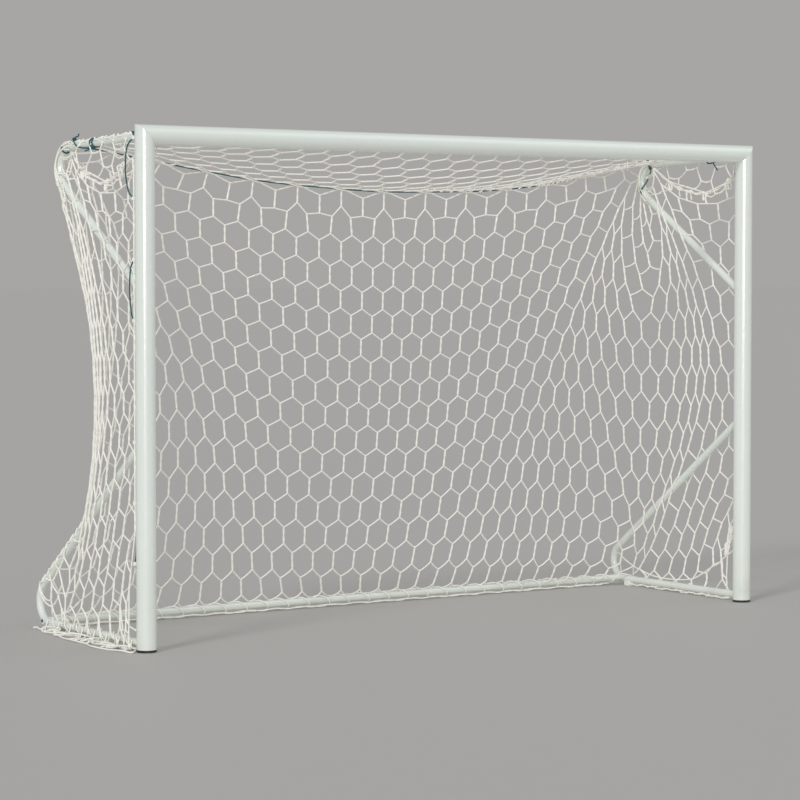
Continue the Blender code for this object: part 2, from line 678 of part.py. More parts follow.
def side_surface(side):
    """The side panel's surface, outside the brackets and drawn in between them at its rear edge."""
    out, opening = hook_direction(side)
    front = Vector((side * POST_X, POST_Y, 0)) + ROPE_OFFSET * out + NET_BESIDE_ROPE * opening
    outside_x = POST_X + BRACKET_RADIUS + SIDE_NET_OUTSIDE_BRACKET
    tube = BRACKET_RADIUS + NET_CORD

    def clear_of_brackets(z):
        """How far behind the posts' axis a bracket's diagonal still reaches at height z."""
        reach = 0.0
        for bracket in (UPPER_BRACKET, LOWER_BRACKET):
            lean = tube * math.hypot(1, bracket.slope)
            y = (z - bracket.diagonal_height + bracket.turn * lean) / bracket.slope
            if y > 0:
                reach = max(reach, min(y, bracket.centre_y + BEND_RADIUS))
        return reach

    def surface(u, v):
        z = mix(SUPPORT_ROPE_END_Z, SIDE_NET_FLOOR_GAP, v)
        rear_y = POST_Y + corner_depth(z)
        y = mix(front.y, rear_y, u)
        clear = clear_of_brackets(z)
        behind = (y - POST_Y - clear) / max(rear_y - POST_Y - clear, NET_CORD)
        drawn = CORNER_PULL_INWARD * corner_pull(z) * smooth_step(behind)
        x = mix(side * front.x, outside_x, smooth_step(u / SIDE_NET_FLARE_SHARE)) - drawn
        return Vector((side * x, y, z))

    return surface


def add_nets(cord):
    add_net_panel("net_top", cord, top_surface, BACK_COLUMNS, TOP_ROWS)
    add_net_panel("net_back", cord, back_surface, BACK_COLUMNS, BACK_ROWS)
    add_net_panel("net_left", cord, side_surface(-1), SIDE_COLUMNS, SIDE_ROWS)
    add_net_panel("net_right", cord, side_surface(1), SIDE_COLUMNS, SIDE_ROWS)


def build_goal():
    clear_scene()
    white_paint = make_material("white_paint", (0.86, 0.88, 0.87), 0.28)
    cast_metal = make_material("cast_metal", (0.60, 0.61, 0.62), 0.45, 1.0)
    screw_steel = make_material("screw_steel", (0.55, 0.56, 0.57), 0.35, 1.0)
    bolt_steel = make_material("bolt_steel", (0.10, 0.16, 0.17), 0.45, 0.6)
    black_rubber = make_material("black_rubber", (0.02, 0.02, 0.02), 0.7)
    white_plastic = make_material("white_plastic", (0.85, 0.85, 0.83), 0.4)
    teal_rope = make_material("teal_rope", (0.02, 0.14, 0.13), 0.85)
    net_cord = make_material("net_cord", (0.82, 0.80, 0.74), 0.9)

    crossbar, posts, crossbar_cutter, post_cutters = add_frame(white_paint)
    add_corners(crossbar, posts, cast_metal, screw_steel)
    add_post_feet(black_rubber)
    lower_brackets, bracket_cutters = add_brackets(white_paint, crossbar_cutter, post_cutters)
    add_ground_bar(white_paint, white_plastic, bolt_steel, lower_brackets, bracket_cutters)
    add_rear_glides(white_plastic, bracket_cutters)
    add_hooks_and_edge_ropes(white_plastic, teal_rope)
    add_support_rope(teal_rope)
    add_nets(net_cord)


build_goal()
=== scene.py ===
import math

import bpy
import numpy as np
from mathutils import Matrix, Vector


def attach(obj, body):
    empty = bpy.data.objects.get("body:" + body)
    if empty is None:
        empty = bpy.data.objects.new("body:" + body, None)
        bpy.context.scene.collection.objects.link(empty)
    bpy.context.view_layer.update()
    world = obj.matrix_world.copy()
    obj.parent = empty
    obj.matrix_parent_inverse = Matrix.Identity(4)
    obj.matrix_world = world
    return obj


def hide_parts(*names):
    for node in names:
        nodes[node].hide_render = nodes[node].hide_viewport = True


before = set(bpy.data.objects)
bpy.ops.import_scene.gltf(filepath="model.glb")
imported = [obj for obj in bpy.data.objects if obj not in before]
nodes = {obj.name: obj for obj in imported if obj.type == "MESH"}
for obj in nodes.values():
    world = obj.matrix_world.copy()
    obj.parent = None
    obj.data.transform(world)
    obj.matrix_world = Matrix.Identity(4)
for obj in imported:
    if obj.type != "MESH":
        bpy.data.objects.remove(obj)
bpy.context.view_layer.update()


# Camera
# It looks at the goal from its left, a little above waist height, with a long lens.
CAMERA_PLACE = (-6.713, -10.036, 1.473)
CAMERA_TURN = 33.66
CAMERA_DIP = 2.51
CAMERA_LENS = 123.93


def new_object(name, data):
    """An object linked into the scene."""
    made = bpy.data.objects.new(name, data)
    bpy.context.scene.collection.objects.link(made)
    return made


camera_data = bpy.data.cameras.new("camera")
camera_data.lens = CAMERA_LENS
camera_data.sensor_width = 36.0
camera = new_object("camera", camera_data)
camera.location = CAMERA_PLACE
camera.rotation_euler = (math.radians(90 - CAMERA_DIP), 0.0, math.radians(-CAMERA_TURN))
bpy.context.scene.camera = camera


# Support rope
# A twisted dark teal rope is strung between the bends of the two upper brackets. It
# carries the rear edge of the net's roof and hangs in a shallow curve under its weight.
ROPE_THICKNESS = 0.006
ROPE_LAY = 0.021
STRANDS = 3
ROPE_Y = 0.200
ROPE_X = 1.5237
ROPE_END_Z = 2.0232
ROPE_DROPS = (0.0, 0.042, 0.088, 0.128, 0.149, 0.162, 0.158, 0.146, 0.113, 0.055, 0.0)
ROPE_STEPS = 44


def through(a, b, c, d, t):
    """A point between b and c on a smooth curve through four values."""
    return 0.5 * (
        2 * b
        + (c - a) * t
        + (2 * a - 5 * b + 4 * c - d) * t * t
        + (3 * b - 3 * c + d - a) * t ** 3
    )


def rope_height(x):
    """Height of the support rope's axis at x."""
    steps = len(ROPE_DROPS) - 1
    t = min(max((x + ROPE_X) / (2 * ROPE_X), 0.0), 1.0) * steps
    i = min(int(t), steps - 1)
    drops = (ROPE_DROPS[0],) + ROPE_DROPS + (ROPE_DROPS[-1],)
    return ROPE_END_Z - through(*drops[i:i + 4], t - i)


def new_material(name):
    """A material with an empty tree, and its principled shader."""
    material = bpy.data.materials.new(name)
    material.use_nodes = True
    tree = material.node_tree
    tree.nodes.clear()
    shader = tree.nodes.new("ShaderNodeBsdfPrincipled")
    output = tree.nodes.new("ShaderNodeOutputMaterial")
    tree.links.new(shader.outputs["BSDF"], output.inputs["Surface"])
    return material, tree, shader


def feed(tree, node, *links):
    """Links or sets inputs of a node, each by its name or number."""
    for key, value in links:
        if isinstance(value, bpy.types.NodeSocket):
            tree.links.new(value, node.inputs[key])
        else:
            node.inputs[key].default_value = value


def math_node(tree, operation, *values):
    """A math node fed with sockets or plain numbers."""
    node = tree.nodes.new("ShaderNodeMath")
    node.operation = operation
    feed(tree, node, *enumerate(values))
    return node.outputs[0]


def noise(tree, scale, detail=3.0):
    """Noise on Object coordinates."""
    place = tree.nodes.new("ShaderNodeTexCoord").outputs["Object"]
    texture = tree.nodes.new("ShaderNodeTexNoise")
    feed(tree, texture, ("Vector", place), ("Scale", scale), ("Detail", detail))
    return texture.outputs["Fac"]


def ramp(tree, value, *stops):
    """A colour ramp with (position, colour) stops."""
    node = tree.nodes.new("ShaderNodeValToRGB")
    elements = node.color_ramp.elements
    while len(elements) < len(stops):
        elements.new(0.5)
    for element, (position, colour) in zip(elements, stops):
        element.position = position
        element.color = (*colour, 1.0)
    tree.links.new(value, node.inputs["Fac"])
    return node.outputs["Color"]


def bump(tree, shader, height, depth, strength=1.0):
    """Bump of a real depth in metres on a shader."""
    node = tree.nodes.new("ShaderNodeBump")
    feed(tree, node, ("Height", height), ("Distance", depth), ("Strength", strength))
    feed(tree, shader, ("Normal", node.outputs["Normal"]))


def attribute(tree, name):
    """The value of a named attribute of the piece."""
    node = tree.nodes.new("ShaderNodeAttribute")
    node.attribute_name = name
    return node.outputs["Fac"]


def cord_material(name, light, dark, lay, yarns, fuzz):
    """Laid or braided cord: yarns wind round it, lighter on their backs than between, where the darker
    grooves are painted shade.
    """
    material, tree, shader = new_material(name)
    turn = math_node(tree, "MULTIPLY", attribute(tree, "along"), 2 * math.pi / lay)
    around = math_node(tree, "MULTIPLY", attribute(tree, "around"), yarns)
    turn = math_node(tree, "ADD", turn, around)
    wave = math_node(tree, "SINE", turn)
    height = math_node(tree, "MULTIPLY_ADD", wave, 0.5, 0.5)
    fibre = noise(tree, 900.0, 2.0)
    patchy = noise(tree, 14.0, 3.0)
    # The helix part of the tone is painted shade in the grooves between the yarns; the fibre and patchy
    # noise are the cord's own tone.
    tone = math_node(tree, "MULTIPLY_ADD", height, 0.45, math_node(tree, "MULTIPLY", fibre, 0.35))
    tone = math_node(tree, "ADD", tone, math_node(tree, "MULTIPLY", patchy, 0.30))
    colour = ramp(tree, tone, (0.15, dark), (0.75, light))
    feed(tree, shader, ("Base Color", colour), ("Roughness", 0.78))
    feed(tree, shader, ("Sheen Weight", fuzz), ("Sheen Roughness", 0.5))
    bump(tree, shader, height, 0.0003, 0.4)
    return material


rope_material = cord_material(
    "twisted_rope", (0.030, 0.150, 0.175), (0.006, 0.045, 0.060), ROPE_LAY / STRANDS, STRANDS, 0.15
)
net_material = cord_material(
    "net_cord", (0.97, 0.96, 0.90), (0.89, 0.87, 0.79), 0.009, 2, 0.3
)


def cord_tree():
    """Lays a cord along every line of a mesh and a bead on every loose point."""
    tree = bpy.data.node_groups.new("cords_on_lines", "GeometryNodeTree")
    tree.interface.new_socket("Geometry", in_out="OUTPUT", socket_type="NodeSocketGeometry")
    for label, kind in (
        ("Geometry", "Geometry"),
        ("Thickness", "Float"),
        ("Sides", "Int"),
        ("Lobes", "Float"),
        ("Lay", "Float"),
        ("Bead", "Float"),
        ("Cord", "Material"),
    ):
        tree.interface.new_socket(label, in_out="INPUT", socket_type="NodeSocket" + kind)
    start, end = tree.nodes.new("NodeGroupInput"), tree.nodes.new("NodeGroupOutput")
    given = start.outputs

    def add(kind, *links, **settings):
        """The results of a new node, its settings made before its links."""
        node = tree.nodes.new(kind)
        for key, value in settings.items():
            setattr(node, key, value)
        feed(tree, node, *links)
        return node.outputs

    def stored(geometry, name, value):
        """The same points with a named value on each."""
        return add(
            "GeometryNodeStoreNamedAttribute",
            ("Geometry", geometry), ("Name", name), ("Value", value),
            data_type="FLOAT", domain="POINT",
        )["Geometry"]

    alone = add("GeometryNodeInputMeshVertexNeighbors")["Vertex Count"]
    loose = add("FunctionNodeCompare", (2, alone), (3, 0), data_type="INT", operation="EQUAL")
    parts = add(
        "GeometryNodeSeparateGeometry",
        ("Geometry", given["Geometry"]), ("Selection", loose["Result"]),
        domain="POINT",
    )
    lines = add("GeometryNodeMeshToCurve", ("Mesh", parts["Inverted"]))["Curve"]
    length = add("GeometryNodeSplineParameter")["Length"]
    angle = math_node(tree, "MULTIPLY", math_node(tree, "DIVIDE", length, given["Lay"]), 2 * math.pi)
    lines = add("GeometryNodeSetCurveTilt", ("Curve", lines), ("Tilt", angle))["Curve"]
    lines = stored(lines, "along", length)
    radius = math_node(tree, "MULTIPLY", given["Thickness"], 0.5)
    ring = add(
        "GeometryNodeCurvePrimitiveCircle", ("Resolution", given["Sides"]), ("Radius", radius)
    )["Curve"]
    part = add("GeometryNodeSplineParameter")["Factor"]
    around = math_node(tree, "MULTIPLY", part, 2 * math.pi)
    ring = stored(ring, "around", around)
    lobe = math_node(tree, "COSINE", math_node(tree, "MULTIPLY", around, STRANDS))
    lobe = math_node(tree, "MULTIPLY_ADD", lobe, given["Lobes"], 1.0)
    place = add("GeometryNodeInputPosition")["Position"]
    grown = add("ShaderNodeVectorMath", (0, place), ("Scale", lobe), operation="SCALE")[0]
    ring = add("GeometryNodeSetPosition", ("Geometry", ring), ("Position", grown))["Geometry"]
    cords = add(
        "GeometryNodeCurveToMesh", ("Curve", lines), ("Profile Curve", ring), ("Fill Caps", True)
    )["Mesh"]
    ball = add("GeometryNodeMeshIcoSphere", ("Radius", given["Bead"]), ("Subdivisions", 1))["Mesh"]
    beads = add(
        "GeometryNodeInstanceOnPoints", ("Points", parts["Selection"]), ("Instance", ball)
    )["Instances"]
    joined = tree.nodes.new("GeometryNodeJoinGeometry")
    for made in (beads, cords):
        tree.links.new(made, joined.inputs[0])
    smooth = add("GeometryNodeSetShadeSmooth", ("Geometry", joined.outputs[0]))["Geometry"]
    real = add("GeometryNodeRealizeInstances", ("Geometry", smooth))["Geometry"]
    done = add("GeometryNodeSetMaterial", ("Geometry", real), ("Material", given["Cord"]))["Geometry"]
    tree.links.new(done, end.inputs["Geometry"])
    return tree


cords_on_lines = cord_tree()


def lines_mesh(name, lines, points=()):
    """A mesh of open lines, and loose points for the beads."""
    places, edges = [], []
    for line in lines:
        first = len(places)
        places.extend(line)
        edges.extend((first + i, first + i + 1) for i in range(len(line) - 1))
    places.extend(points)
    mesh = bpy.data.meshes.new(name)
    mesh.from_pydata([tuple(p) for p in places], edges, [])
    return mesh


def cord_piece(name, lines, thickness, material, sides=6, lobes=0.0, lay=1.0, points=(), bead=0.0):
    """One piece made of cords of one kind: the tree is run and its result kept as a plain mesh."""
    values = {"Thickness": thickness, "Sides": sides, "Lobes": lobes, "Lay": lay, "Bead": bead}
    values["Cord"] = material
    source = new_object(name + "_lines", lines_mesh(name, lines, points))
    modifier = source.modifiers.new(name, "NODES")
    modifier.node_group = cords_on_lines
    for item in cords_on_lines.interface.items_tree:
        if item.in_out == "INPUT" and item.name in values:
            modifier[item.identifier] = values[item.name]
    bpy.context.view_layer.update()
    seen = source.evaluated_get(bpy.context.evaluated_depsgraph_get())
    made = bpy.data.meshes.new_from_object(seen)
    bpy.data.objects.remove(source)
    return new_object(name, made)


def resampled(line, step):
    """The points of a line, evenly spaced about a step apart."""
    line = np.array(line, float)
    gaps = np.linalg.norm(np.diff(line, axis=0), axis=1)
    travelled = np.concatenate([[0.0], np.cumsum(gaps)])
    count = max(2, int(round(travelled[-1] / step)))
    wanted = np.linspace(0.0, travelled[-1], count + 1)
    return np.stack([np.interp(wanted, travelled, line[:, k]) for k in range(3)], 1)


def smooth_line(points, per_gap=8):
    """A smooth curve through the points."""
    points = [np.array(p, float) for p in points]
    padded = [points[0]] + points + [points[-1]]
    line = []
    for i in range(len(points) - 1):
        for k in range(per_gap):
            line.append(through(*padded[i:i + 4], k / per_gap))
    line.append(points[-1])
    return line


def rope_piece(name, lines):
    """Twisted rope with three strands showing in its outline."""
    lines = [resampled(line, ROPE_LAY / 9) for line in lines]
    look = {"sides": 12, "lobes": 0.09, "lay": ROPE_LAY}
    return cord_piece(name, lines, ROPE_THICKNESS, rope_material, **look)


support_line = []
for step in range(ROPE_STEPS + 1):
    x = ROPE_X * (2 * step / ROPE_STEPS - 1)
    support_line.append((x, ROPE_Y, rope_height(x)))
support_length = sum(math.dist(a, b) for a, b in zip(support_line, support_line[1:]))
support_rope = rope_piece("support_rope", [support_line])
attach(support_rope, "root")
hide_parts("top_support_rope")
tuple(support_line[0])


# Posts, crossbar, brackets and ground bar
# Round steel tubes, mitred or bent and welded, under a thick glossy white powder coat.
# The coat has a faint orange peel and small dark marks, and it is darker and grey-brown in patches low
# down, most at the floor.
def coat_material():
    material, tree, shader = new_material("white_powder_coat")
    split = tree.nodes.new("ShaderNodeSeparateXYZ")
    feed(tree, split, (0, tree.nodes.new("ShaderNodeTexCoord").outputs["Object"]))
    # The colour grows darker and grey-brown in patches from about 0.45 m down to the floor; small dark
    # marks are spread everywhere.
    low = math_node(tree, "MULTIPLY_ADD", split.outputs["Z"], -2.2, 1.0)
    low = math_node(tree, "MAXIMUM", low, 0.0)
    patches = noise(tree, 6.0, 5.0)
    low_patches = math_node(tree, "MULTIPLY", low, math_node(tree, "POWER", patches, 3.0))
    marks = math_node(tree, "POWER", noise(tree, 55.0, 6.0), 9.0)
    marks_and_low_patches = math_node(tree, "MULTIPLY_ADD", marks, 3.0, math_node(tree, "MULTIPLY", low_patches, 1.3))
    colour = ramp(
        tree,
        marks_and_low_patches,
        (0.0, (0.800, 0.860, 0.805)),
        (0.25, (0.760, 0.805, 0.745)),
        (1.0, (0.48, 0.47, 0.40)),
    )
    rough = math_node(tree, "MULTIPLY_ADD", patches, 0.16, 0.16)
    feed(tree, shader, ("Base Color", colour), ("Roughness", rough))
    feed(tree, shader, ("Coat Weight", 1.0), ("Coat IOR", 1.6), ("Coat Roughness", 0.14))
    bump(tree, shader, noise(tree, 420.0, 1.0), 0.00005, 0.5)
    return material


white_coat = coat_material()


def finish_nodes(material, *names):
    """Gives CAD nodes their real material."""
    for name in names:
        mesh = nodes[name].data
        mesh.materials.clear()
        mesh.materials.append(material)


SIDES = ("left", "right")
finish_nodes(white_coat, "crossbar", "rear_ground_bar")
for side in SIDES:
    finish_nodes(white_coat, side + "_post", side + "_upper_bracket", side + "_lower_bracket")


# Corner inserts, screws and bolts
# Cast aluminium elbows sit inside the mitred corners and button-head screws hold them from
# behind. A dark painted bolt holds each end of the ground bar.
def metal_material(name, light, dark, rough, grain):
    material, tree, shader = new_material(name)
    speckle = noise(tree, grain, 4.0)
    rough = math_node(tree, "MULTIPLY_ADD", speckle, 0.2, rough)
    colour = ramp(tree, speckle, (0.3, dark), (0.7, light))
    feed(tree, shader, ("Base Color", colour), ("Metallic", 1.0), ("Roughness", rough))
    bump(tree, shader, speckle, 0.00008, 0.5)
    return material


cast_metal = metal_material("cast_aluminium", (0.62, 0.63, 0.64), (0.45, 0.46, 0.47), 0.45, 260.0)
screw_metal = metal_material("zinc_screw", (0.66, 0.66, 0.64), (0.48, 0.48, 0.47), 0.25, 500.0)


def two_tone_material(name, patches, stops, grain, relief, *inputs):
    """A material of two tones in patches, with a fine grain."""
    material, tree, shader = new_material(name)
    feed(tree, shader, ("Base Color", ramp(tree, noise(tree, *patches), *stops)), *inputs)
    bump(tree, shader, noise(tree, *grain), *relief)
    return material


bolt_paint = two_tone_material(
    "dark_painted_bolt",
    (300.0, 5.0),
    ((0.35, (0.055, 0.085, 0.095)), (0.75, (0.14, 0.19, 0.20))),
    (300.0, 5.0),
    (0.0001, 0.5),
    ("Roughness", 0.38),
)
for side in SIDES:
    finish_nodes(cast_metal, side + "_corner_insert")
    finish_nodes(screw_metal, side + "_post_screw", side + "_bar_screw")
    finish_nodes(bolt_paint, side + "_bar_bolt")


# Feet
# A moulded black rubber plug closes each post below and stands on the floor.
black_rubber = two_tone_material(
    "black_rubber",
    (30.0, 5.0),
    ((0.35, (0.016, 0.017, 0.018)), (0.8, (0.060, 0.058, 0.052))),
    (700.0, 3.0),
    (0.0001, 0.6),
    ("Roughness", 0.7),
)
for side in SIDES:
    finish_nodes(black_rubber, side + "_post_foot")


# Net hooks, rear glides, bar plugs and washers
# White nylon hooks clip behind the posts and the crossbar, one every 240 or 270 mm. The
# glides under the brackets, the ground bar's plugs and the bolts' washers are white nylon too.
HOOK_STEP = 0.24
HOOK_TOP = 2.03
POST_HOOKS = 8
BAR_HOOKS = 11
BAR_HOOK_STEP = 0.27

white_nylon = two_tone_material(
    "white_nylon",
    (120.0, 3.0),
    ((0.3, (0.80, 0.80, 0.76)), (0.7, (0.88, 0.88, 0.85))),
    (900.0, 2.0),
    (0.00004, 0.5),
    ("Roughness", 0.42), ("Subsurface Weight", 0.15), ("Subsurface Scale", 0.004),
)
finish_nodes(white_nylon, *(f"crossbar_hook_{i + 1}" for i in range(BAR_HOOKS)))
for side in SIDES:
    finish_nodes(white_nylon, *(f"{side}_post_hook_{i + 1}" for i in range(POST_HOOKS)))
    finish_nodes(white_nylon, side + "_rear_glide", side + "_bar_plug", side + "_bar_washer")


# Edge ropes
# The same twisted rope runs through the hooks behind both posts and the crossbar. It is
# pulled tight at the hooks and bows out a little between them, and ends in a stop knot.
EDGE_X = 1.5730
EDGE_Y = -0.4270
EDGE_TOP = 2.047
EDGE_END = (EDGE_X - 0.014, EDGE_Y + 0.007, 0.335)
BOWS = (0.058, -0.010, 0.026, -0.014, -0.016, -0.012, -0.012)
BOW_SHAPE = ((0.12, 0.70), (0.32, 0.98), (0.60, 0.98), (0.88, 0.60))
BAR_ROPE_Y = -0.4196
BAR_ROPE_Z = 2.0167
BAR_ROPE_START = ((-1.497, 0.0, 0.0), (-1.42, 0.002, -0.002))
BAR_ROPE_CORNER = (
    (1.365, 0.006, -0.019), (1.392, 0.006, -0.018), (1.430, 0.003, -0.005), (1.500, 0.0, 0.0),
    (1.530, 0.0, -0.030), (1.516, 0.003, -0.050), (1.528, 0.003, -0.070),
)
BAR_ROPE_TAIL = (
    (1.398, 0.006, -0.016), (1.405, 0.008, -0.024), (1.416, 0.010, -0.036), (1.428, 0.011, -0.049),
)
EDGE_KNOT = 0.0050
KNOT_PAST = 0.003


def edge_line(side):
    """The rope behind one post, from the top knot down through the hooks."""
    points = [(side * EDGE_X, EDGE_Y, EDGE_TOP)]
    for i in range(POST_HOOKS):
        z = HOOK_TOP - HOOK_STEP * i
        points.append((side * EDGE_X, EDGE_Y, z))
        if i < POST_HOOKS - 1:
            bow = BOWS[i]
            for share, out in BOW_SHAPE:
                x = side * (EDGE_X + min(bow, 0.004) * out)
                y = EDGE_Y + max(bow, -0.45 * bow) * out
                points.append((x, y, z - HOOK_STEP * share))
    x, y, z = EDGE_END
    points.append((side * x, y, z))
    return smooth_line(points, 6)


def by_bar_rope(places):
    """Points so far along, behind and above the crossbar rope's axis."""
    return [(x, BAR_ROPE_Y + back, BAR_ROPE_Z + up) for x, back, up in places]


def bar_rope_line():
    """The rope behind the crossbar, dipping between its hooks."""
    places = []
    half = BAR_HOOKS // 2
    for i in range(-half, half + 1):
        places.append((i * BAR_HOOK_STEP, 0.0, 0.0))
        if i < half:
            places.append(((i + 0.5) * BAR_HOOK_STEP, 0.004, -0.003 - 0.001 * math.sin(1.7 * i)))
    return smooth_line(by_bar_rope([*BAR_ROPE_START, *places, *BAR_ROPE_CORNER]), 6)


def stop_knot(centre, size, axis):
    """The line of an overhand knot drawn tight round a centre, seen along an axis."""
    axis = Vector(axis).normalized()
    a = axis.orthogonal().normalized()
    b = axis.cross(a)
    line = []
    for k in range(25):
        t = 2 * math.pi * k / 24 + 0.3
        r = size * (1 + 0.45 * math.cos(1.5 * t))
        p = Vector(centre) + a * r * math.cos(t) + b * r * math.sin(t)
        line.append(tuple(p + axis * 0.55 * size * math.sin(1.5 * t)))
    return line


for side, label in ((-1, "left"), (1, "right")):
    line = edge_line(side)
    top = stop_knot(line[0] + (0.0, 0.0, KNOT_PAST), EDGE_KNOT, (0, 0, 1))
    low = stop_knot(line[-1] - (0.0, 0.0, KNOT_PAST), EDGE_KNOT, (0, 0, 1))
    piece = rope_piece(label + "_post_rope", [line, top, low])
    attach(piece, "root")
    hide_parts(label + "_edge_rope")
bar_rope = rope_piece("crossbar_rope", [bar_rope_line(), smooth_line(by_bar_rope(BAR_ROPE_TAIL))])
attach(bar_rope, "root")
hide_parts("crossbar_edge_rope")


# Rope ties
# Both ends of the support rope are made fast on the upper brackets: on the left by a loop
# round the bend, a knot and two turns round the arm, on the right by a run down the bend.
BRACKET_X = 1.54
TUBE_RADIUS = 0.016
BEND_RADIUS = 0.085
BEND_Y, BEND_Z = 0.189, 1.933
BEND_SWEEP = 146.6
BEND_LENGTH = math.radians(BEND_SWEEP) * BEND_RADIUS
ARM_LENGTH = 0.609
ARM_SLOPE = 0.0312
CLOSE = ROPE_THICKNESS / 2 + 0.0005


def on_upper(side, station, turn, gap=CLOSE):
    """A point by an upper bracket: so far down from the bend's start, turned from its back."""
    reach = TUBE_RADIUS + gap
    angle = math.radians(90) - min(max(station, 0.0), BEND_LENGTH) / BEND_RADIUS
    out_y, out_z = math.cos(angle), math.sin(angle)
    past = max(0.0, station - BEND_LENGTH)
    before = min(station, 0.0)
    y = BEND_Y + BEND_RADIUS * out_y + past * out_z + before
    z = BEND_Z + BEND_RADIUS * out_z - past * out_y - before * ARM_SLOPE
    away = reach * math.cos(math.radians(turn))
    x = side * (BRACKET_X + reach * math.sin(math.radians(turn)))
    return (x, y + away * out_y, z + away * out_z)


def turns_round(side, start, end, first, last):
    """Turns of rope round an upper bracket, between two stations and two angles."""
    count = max(6, int(abs(last - first) / 24))
    line = []
    for k in range(count + 1):
        t = k / count
        line.append(on_upper(side, start + (end - start) * t, first + (last - first) * t))
    return line


def tube_run(side, *places):
    """A smooth run of rope by an upper bracket, through stations and turns."""
    return smooth_line([on_upper(side, *place) for place in places])


left_knot = Vector(on_upper(-1, -0.052, 5, 0.009))
LEFT_TAIL = ((0, 0, 0), (-0.004, -0.016, 0.010), (-0.002, -0.034, 0.013), (-0.004, -0.045, 0.022))
left_loop = turns_round(-1, 0.030, 0.040, -95, 300)
left_run = tube_run(
    -1, (0.038, 300), (0.020, 345, 0.006), (-0.020, 358, 0.007), (-0.050, 350, 0.010),
    (-0.068, 390, 0.007), (-0.086, 430, 0.005), (-0.108, 470), (-0.140, 500),
    (-0.175, 520), (-0.200, 535),
)
left_tie = rope_piece(
    "left_rope_tie",
    [
        smooth_line([support_line[0], left_loop[0]]),
        left_loop,
        left_run,
        turns_round(-1, -0.203, -0.240, 540, 1250),
        tube_run(-1, (-0.240, 1250), (-0.250, 1300), (-0.272, 1340), (-0.300, 1330)),
        smooth_line([left_knot + Vector(step) for step in LEFT_TAIL]),
        tube_run(
            -1, (-0.205, 540), (-0.192, 530, 0.008), (-0.178, 520, 0.012), (-0.166, 515, 0.016)
        ),
        stop_knot(left_knot, 0.0062, (0, 1, 0.3)),
        stop_knot(left_knot, 0.0052, (1, 0.2, 0.1)),
    ],
)
right_tie = rope_piece(
    "right_rope_tie",
    [
        smooth_line([support_line[-1], on_upper(1, 0.006, -90)]),
        turns_round(1, 0.004, 0.014, -90, 270),
        tube_run(
            1, (0.014, 270), (0.024, 215), (0.042, 160, 0.006), (0.066, 142, 0.010),
            (0.090, 138, 0.012), (0.112, 142, 0.010), (0.134, 158, 0.006), (0.155, 200),
            (0.172, 245), (0.184, 280),
        ),
        turns_round(1, 0.184, 0.192, 280, 450),
        tube_run(1, (0.192, 450), (0.202, 440, 0.006), (0.215, 435, 0.010)),
        stop_knot(on_upper(1, 0.010, -60, 0.008), 0.0058, (0, 1, 0.2)),
    ],
)
for piece in (left_tie, right_tie):
    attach(piece, "root")


# Net
# One bag of white knotless cord in upright hexagons, 120 mm across. Its columns hang from
# the support rope and the bends, pass outside the brackets and are laced down at the foot.
# The shape is that of the slack cords: they can't stretch, they fall until the ties hold.
UPRIGHT = 0.074
SLANT = 0.0655
CORD_THICKNESS = 0.0068
PAIR_GAP = 0.0015
PAIR_BENDS = 6
KNOT_SIZE = 0.0050
ROWS = 17
FIRST, LAST = -16, 32
BENDS = (-11, 27)
ROPE_COLUMNS = (-3, 21)
CORNERS = (-7.0, 24.75)
MIDDLE = 9.4
LOOSE_COLUMN = -5.6
LOOSE_ROW = 15
WRAP_COLUMNS = (-7, -7.5)
WRAP_ROW = 12
WRAP_REACH = 0.103
WRAP_STEP, WRAP_HALF = 0.107, 0.062
POST_ROWS = 14
ROPE_START, ROPE_PITCH = -0.879, 0.11215
ROPE_LIMIT = 1.50
SEAM_RISE = 0.012
BEND_REACH = 0.106
RUN_START = 0.40
FOOT_X, FOOT_Z = 1.562, 0.042
FOOT_LIMIT = 0.47
RUN_PITCHES = (0.108, 0.110)
BAR_FOOT_X, BAR_FOOT_PITCH, BAR_FOOT_CLOSING = -0.964, 0.1065, 0.00028
BAR_TIE_X, BAR_TIE_Y, BAR_TIE_Z = 1.53, 0.434, 0.048
START_X, START_Y, START_BACK, START_POST_Y = 1.615, 0.24, 0.34, -0.43
START_FADE = 0.06
CORNER_SPAN = 12.0
ROW_SHARE = 1.55
ROPE_MESH, GATHERED_MESH, GATHER_END = 0.118, 0.06, 0.20
GATHERED_UPRIGHT = 0.025
BORDER = 0.17
POST_TIES = (1.940, 0.119, 0.035)
LOW_BEND_Y, LOW_BEND_Z = 0.399, 0.115
LOW_BEND_START, LOW_BEND_SWEEP = 53.8, 143.8
SEAM = (
    (0.190, 2.005), (0.095, 1.935), (0.000, 1.885), (-0.110, 1.858), (-0.215, 1.865),
    (-0.320, 1.915), (-0.427, 1.950),
)

knot_names = {}
knot_places = []
knot_tied = []
net_cords = []


def knot(name, place, tied=False):
    """Adds a knot once, held where it is if it is tied."""
    if name in knot_names:
        return
    knot_names[name] = len(knot_places)
    knot_places.append(place)
    knot_tied.append(tied)


def between(a, b, t):
    """The point a share t of the way from a to b."""
    return tuple(p + (q - p) * t for p, q in zip(a, b))


def on_rope(column):
    """Where a column's top meets the support rope."""
    x = ROPE_START + ROPE_PITCH * (column - 1)
    x = max(-ROPE_LIMIT, min(ROPE_LIMIT, x))
    return (x, ROPE_Y, rope_height(x) + 0.004)


def on_seam(side, share):
    """A point of the seam between roof and side, from the bend to the post."""
    t = share * (len(SEAM) - 1)
    i = min(int(t), len(SEAM) - 2)
    y, z = between(SEAM[i], SEAM[i + 1], t - i)
    rise = SEAM_RISE if side > 0 else 0.0
    return (side * (1.535 + 0.038 * share), y, z + rise * math.sin(math.pi * share))


def behind_bend(side, degrees):
    """A point on the back of an upper bend; 0 degrees is rearmost, 90 is on top."""
    a = math.radians(degrees)
    x = side * (1.548 - 0.0003 * degrees)
    return (x, BEND_Y + BEND_REACH * math.cos(a), BEND_Z + BEND_REACH * math.sin(a))


